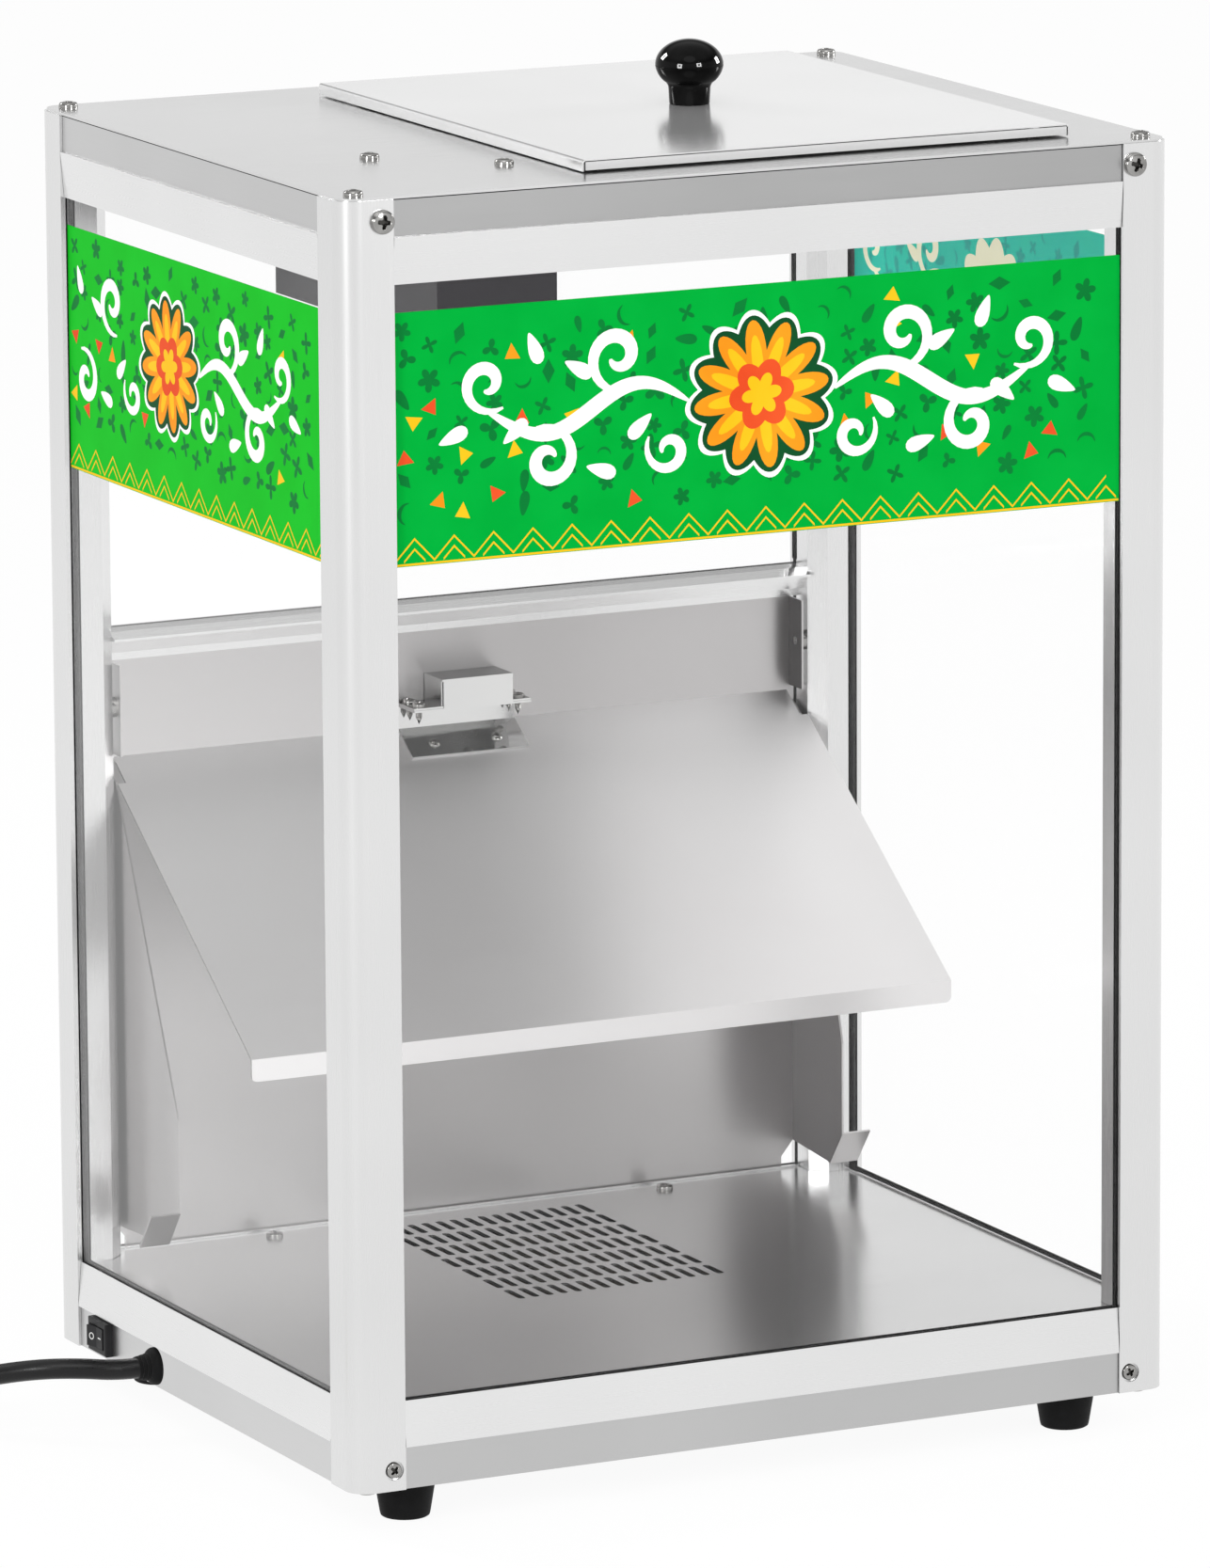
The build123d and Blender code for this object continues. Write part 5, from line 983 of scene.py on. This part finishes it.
glassFace = halfWidth - 3.4
filmOut = 0.3
sideWidth = 2 * (halfDepth - postSize - 0.3)
frontWidth = 2 * (halfWidth - postSize - 0.3)
bottom = bannerLook["bottomMm"]
makeBanner("bannerFront", "banner_front", (-frontWidth / 2, -(halfDepth - 3.4) - filmOut, bottom), (1, 0, 0),
           (0, -1, 0), frontWidth, bannerArtwork(frontWidth, ((188, 37),), 11))
makeBanner("bannerLeft", "banner_left", (-glassFace - filmOut, sideWidth / 2, bottom), (0, -1, 0), (-1, 0, 0),
           sideWidth, bannerArtwork(sideWidth, ((118, 33),), 23), "fieldBright")
makeBanner("bannerRight", "banner_right", (glassFace + filmOut, -sideWidth / 2, bottom), (0, 1, 0), (1, 0, 0),
           sideWidth, bannerArtwork(sideWidth, ((146, 33),), 37), "fieldBright", "reverse")
print("banners ready")


# finishes of the CAD pieces that stay in view -----------------------------------------------
finishes = {
    anodisedZ: ["post_front_left", "post_front_right", "post_rear_left", "post_rear_right"],
    anodisedX: ["rear_mid_rail"],
    panelX: ["top_panel"],
    trayX: ["lid_tray"],
    chuteSheet: ["chute"],
    floorSheet: ["floor_plate"],
    doorX: ["service_door", "hinge_rail_leaf", "hinge_door_leaf"],
    brightSheet: ["catch_bracket"],
    lampSheet: ["lamp_housing"],
    zinc: ["chute_fixings", "lid_knob_screw", "door_knob_screw", "hinge_pin", "corner_brackets"],
    darkSteel: ["base_pan"],
    mattBlack: ["fan_frame", "fan_rotor", "switch_housing", "switch_rocker"],
    ferrite: ["catch_magnet"],
    heaterTube: ["heating_element"],
    ceramic: ["lamp_socket"],
    brass: ["plug_pins"],
    floatGlass: ["glass_front"],
    coatedGlass: ["glass_right", "glass_rear"],
    bloomedGlass: ["glass_left"],
    bulbGlass: ["lamp_bulb"],
}
for material, names in finishes.items():
    for name in names:
        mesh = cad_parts[name].data
        mesh.materials.clear()
        mesh.materials.append(material)


# studio ----------------------------------------------------------------------------------
studioLook = {"floorMm": 60000, "floorGlow": 0.93, "fill": 0.66, "sun": 0.5, "softboxWatts": 12.0,
              "softboxM": (0.32, 0.5), "softboxAwayM": 2.3, "windowWatts": 260.0, "windowM": (0.62, 0.8),
              "sky": ((0.0, 1.0), (0.28, 1.0), (0.4, 0.2), (0.5, 0.2), (0.7, 1.0))}
floorMesh = bpy.data.meshes.new("floor")
reach = studioLook["floorMm"] / 2000
floorLevel = at(0, 0, -footHeight).z
floorMesh.from_pydata([(-reach, -reach, floorLevel), (reach, -reach, floorLevel), (reach, reach, floorLevel),
                       (-reach, reach, floorLevel)], [], [(0, 1, 2, 3)])
floor = bpy.data.objects.new("floor", floorMesh)
scene.collection.objects.link(floor)
# white paper sweep: mostly its own glow, so shadows on it stay pale
paper, tree, output = newMaterial("paperSweep")
glow = addNode(tree, "Emission", {"Color": (1, 1, 1, 1), "Strength": 1.0})
matt = addNode(tree, "BsdfDiffuse", {"Color": (0.95, 0.95, 0.95, 1)})
paperMix = addNode(tree, "MixShader", {"Fac": studioLook["floorGlow"]})
tree.links.new(matt.outputs[0], paperMix.inputs[1])
tree.links.new(glow.outputs[0], paperMix.inputs[2])
tree.links.new(paperMix.outputs[0], output.inputs["Surface"])
floorMesh.materials.append(paper)

world = bpy.data.worlds.new("studio")
scene.world = world
world.use_nodes = True
tree = world.node_tree
tree.nodes.clear()
direction = addNode(tree, "SeparateXYZ", {0: addNode(tree, "TexCoord").outputs["Generated"]})
height = addNode(tree, "ValToRGB", {"Fac": direction.outputs["Z"]})
skyStops = height.color_ramp.elements
while len(skyStops) < len(studioLook["sky"]):
    skyStops.new(1.0)
for stop, (place, level) in zip(skyStops, studioLook["sky"]):
    stop.position = place
    stop.color = (level, level, level, 1)
fill = addNode(tree, "Background", {"Color": (1, 1, 1, 1), "Strength": studioLook["fill"]})
sky = addNode(tree, "Background", {"Color": height.outputs[0], "Strength": 1.0})
white = addNode(tree, "Background", {"Color": (1, 1, 1, 1), "Strength": 1.0})
# gloss sees a white room with a dark belt above it, the camera sees plain white
rays = addNode(tree, "LightPath")
mirrored = addNode(tree, "MixShader", {"Fac": rays.outputs["Is Glossy Ray"]})
tree.links.new(fill.outputs[0], mirrored.inputs[1])
tree.links.new(sky.outputs[0], mirrored.inputs[2])
seen = addNode(tree, "MixShader", {"Fac": rays.outputs["Is Camera Ray"]})
tree.links.new(mirrored.outputs[0], seen.inputs[1])
tree.links.new(white.outputs[0], seen.inputs[2])
tree.links.new(seen.outputs[0], addNode(tree, "OutputWorld").inputs["Surface"])

sunData = bpy.data.lights.new("softSun", "SUN")
sunData.energy = studioLook["sun"]
sunData.angle = radians(35)
softSun = bpy.data.objects.new("softSun", sunData)
softSun.rotation_euler = (radians(38), radians(-22), 0)
scene.collection.objects.link(softSun)
# four softboxes level with the top put crisp windows in the knobs; small dim ones glint in screws and lead
for number, bearing in enumerate(((-0.551, 0.707, 0.443), (0.973, -0.024, 0.231), (-0.854, -0.503, 0.131),
                                  (0.116, -0.969, 0.216))):
    for kind in ("softbox", "window"):
        boxData = bpy.data.lights.new(f"{kind}{number}", "AREA")
        boxData.shape = "RECTANGLE"
        boxData.size, boxData.size_y = studioLook[kind + "M"]
        boxData.energy = studioLook[kind + "Watts"]
        softbox = bpy.data.objects.new(f"{kind}{number}", boxData)
        softbox.location = at(46.5, -2.0, 630.0) + Vector(bearing).normalized() * studioLook["softboxAwayM"]
        softbox.rotation_euler = (-Vector(bearing)).to_track_quat("-Z", "Y").to_euler()
        softbox.visible_camera = False
        scene.collection.objects.link(softbox)
        if kind == "window":
            softbox.light_linking.receiver_collection = knobs
scene.view_settings.view_transform = "Standard"
print("studio ready")
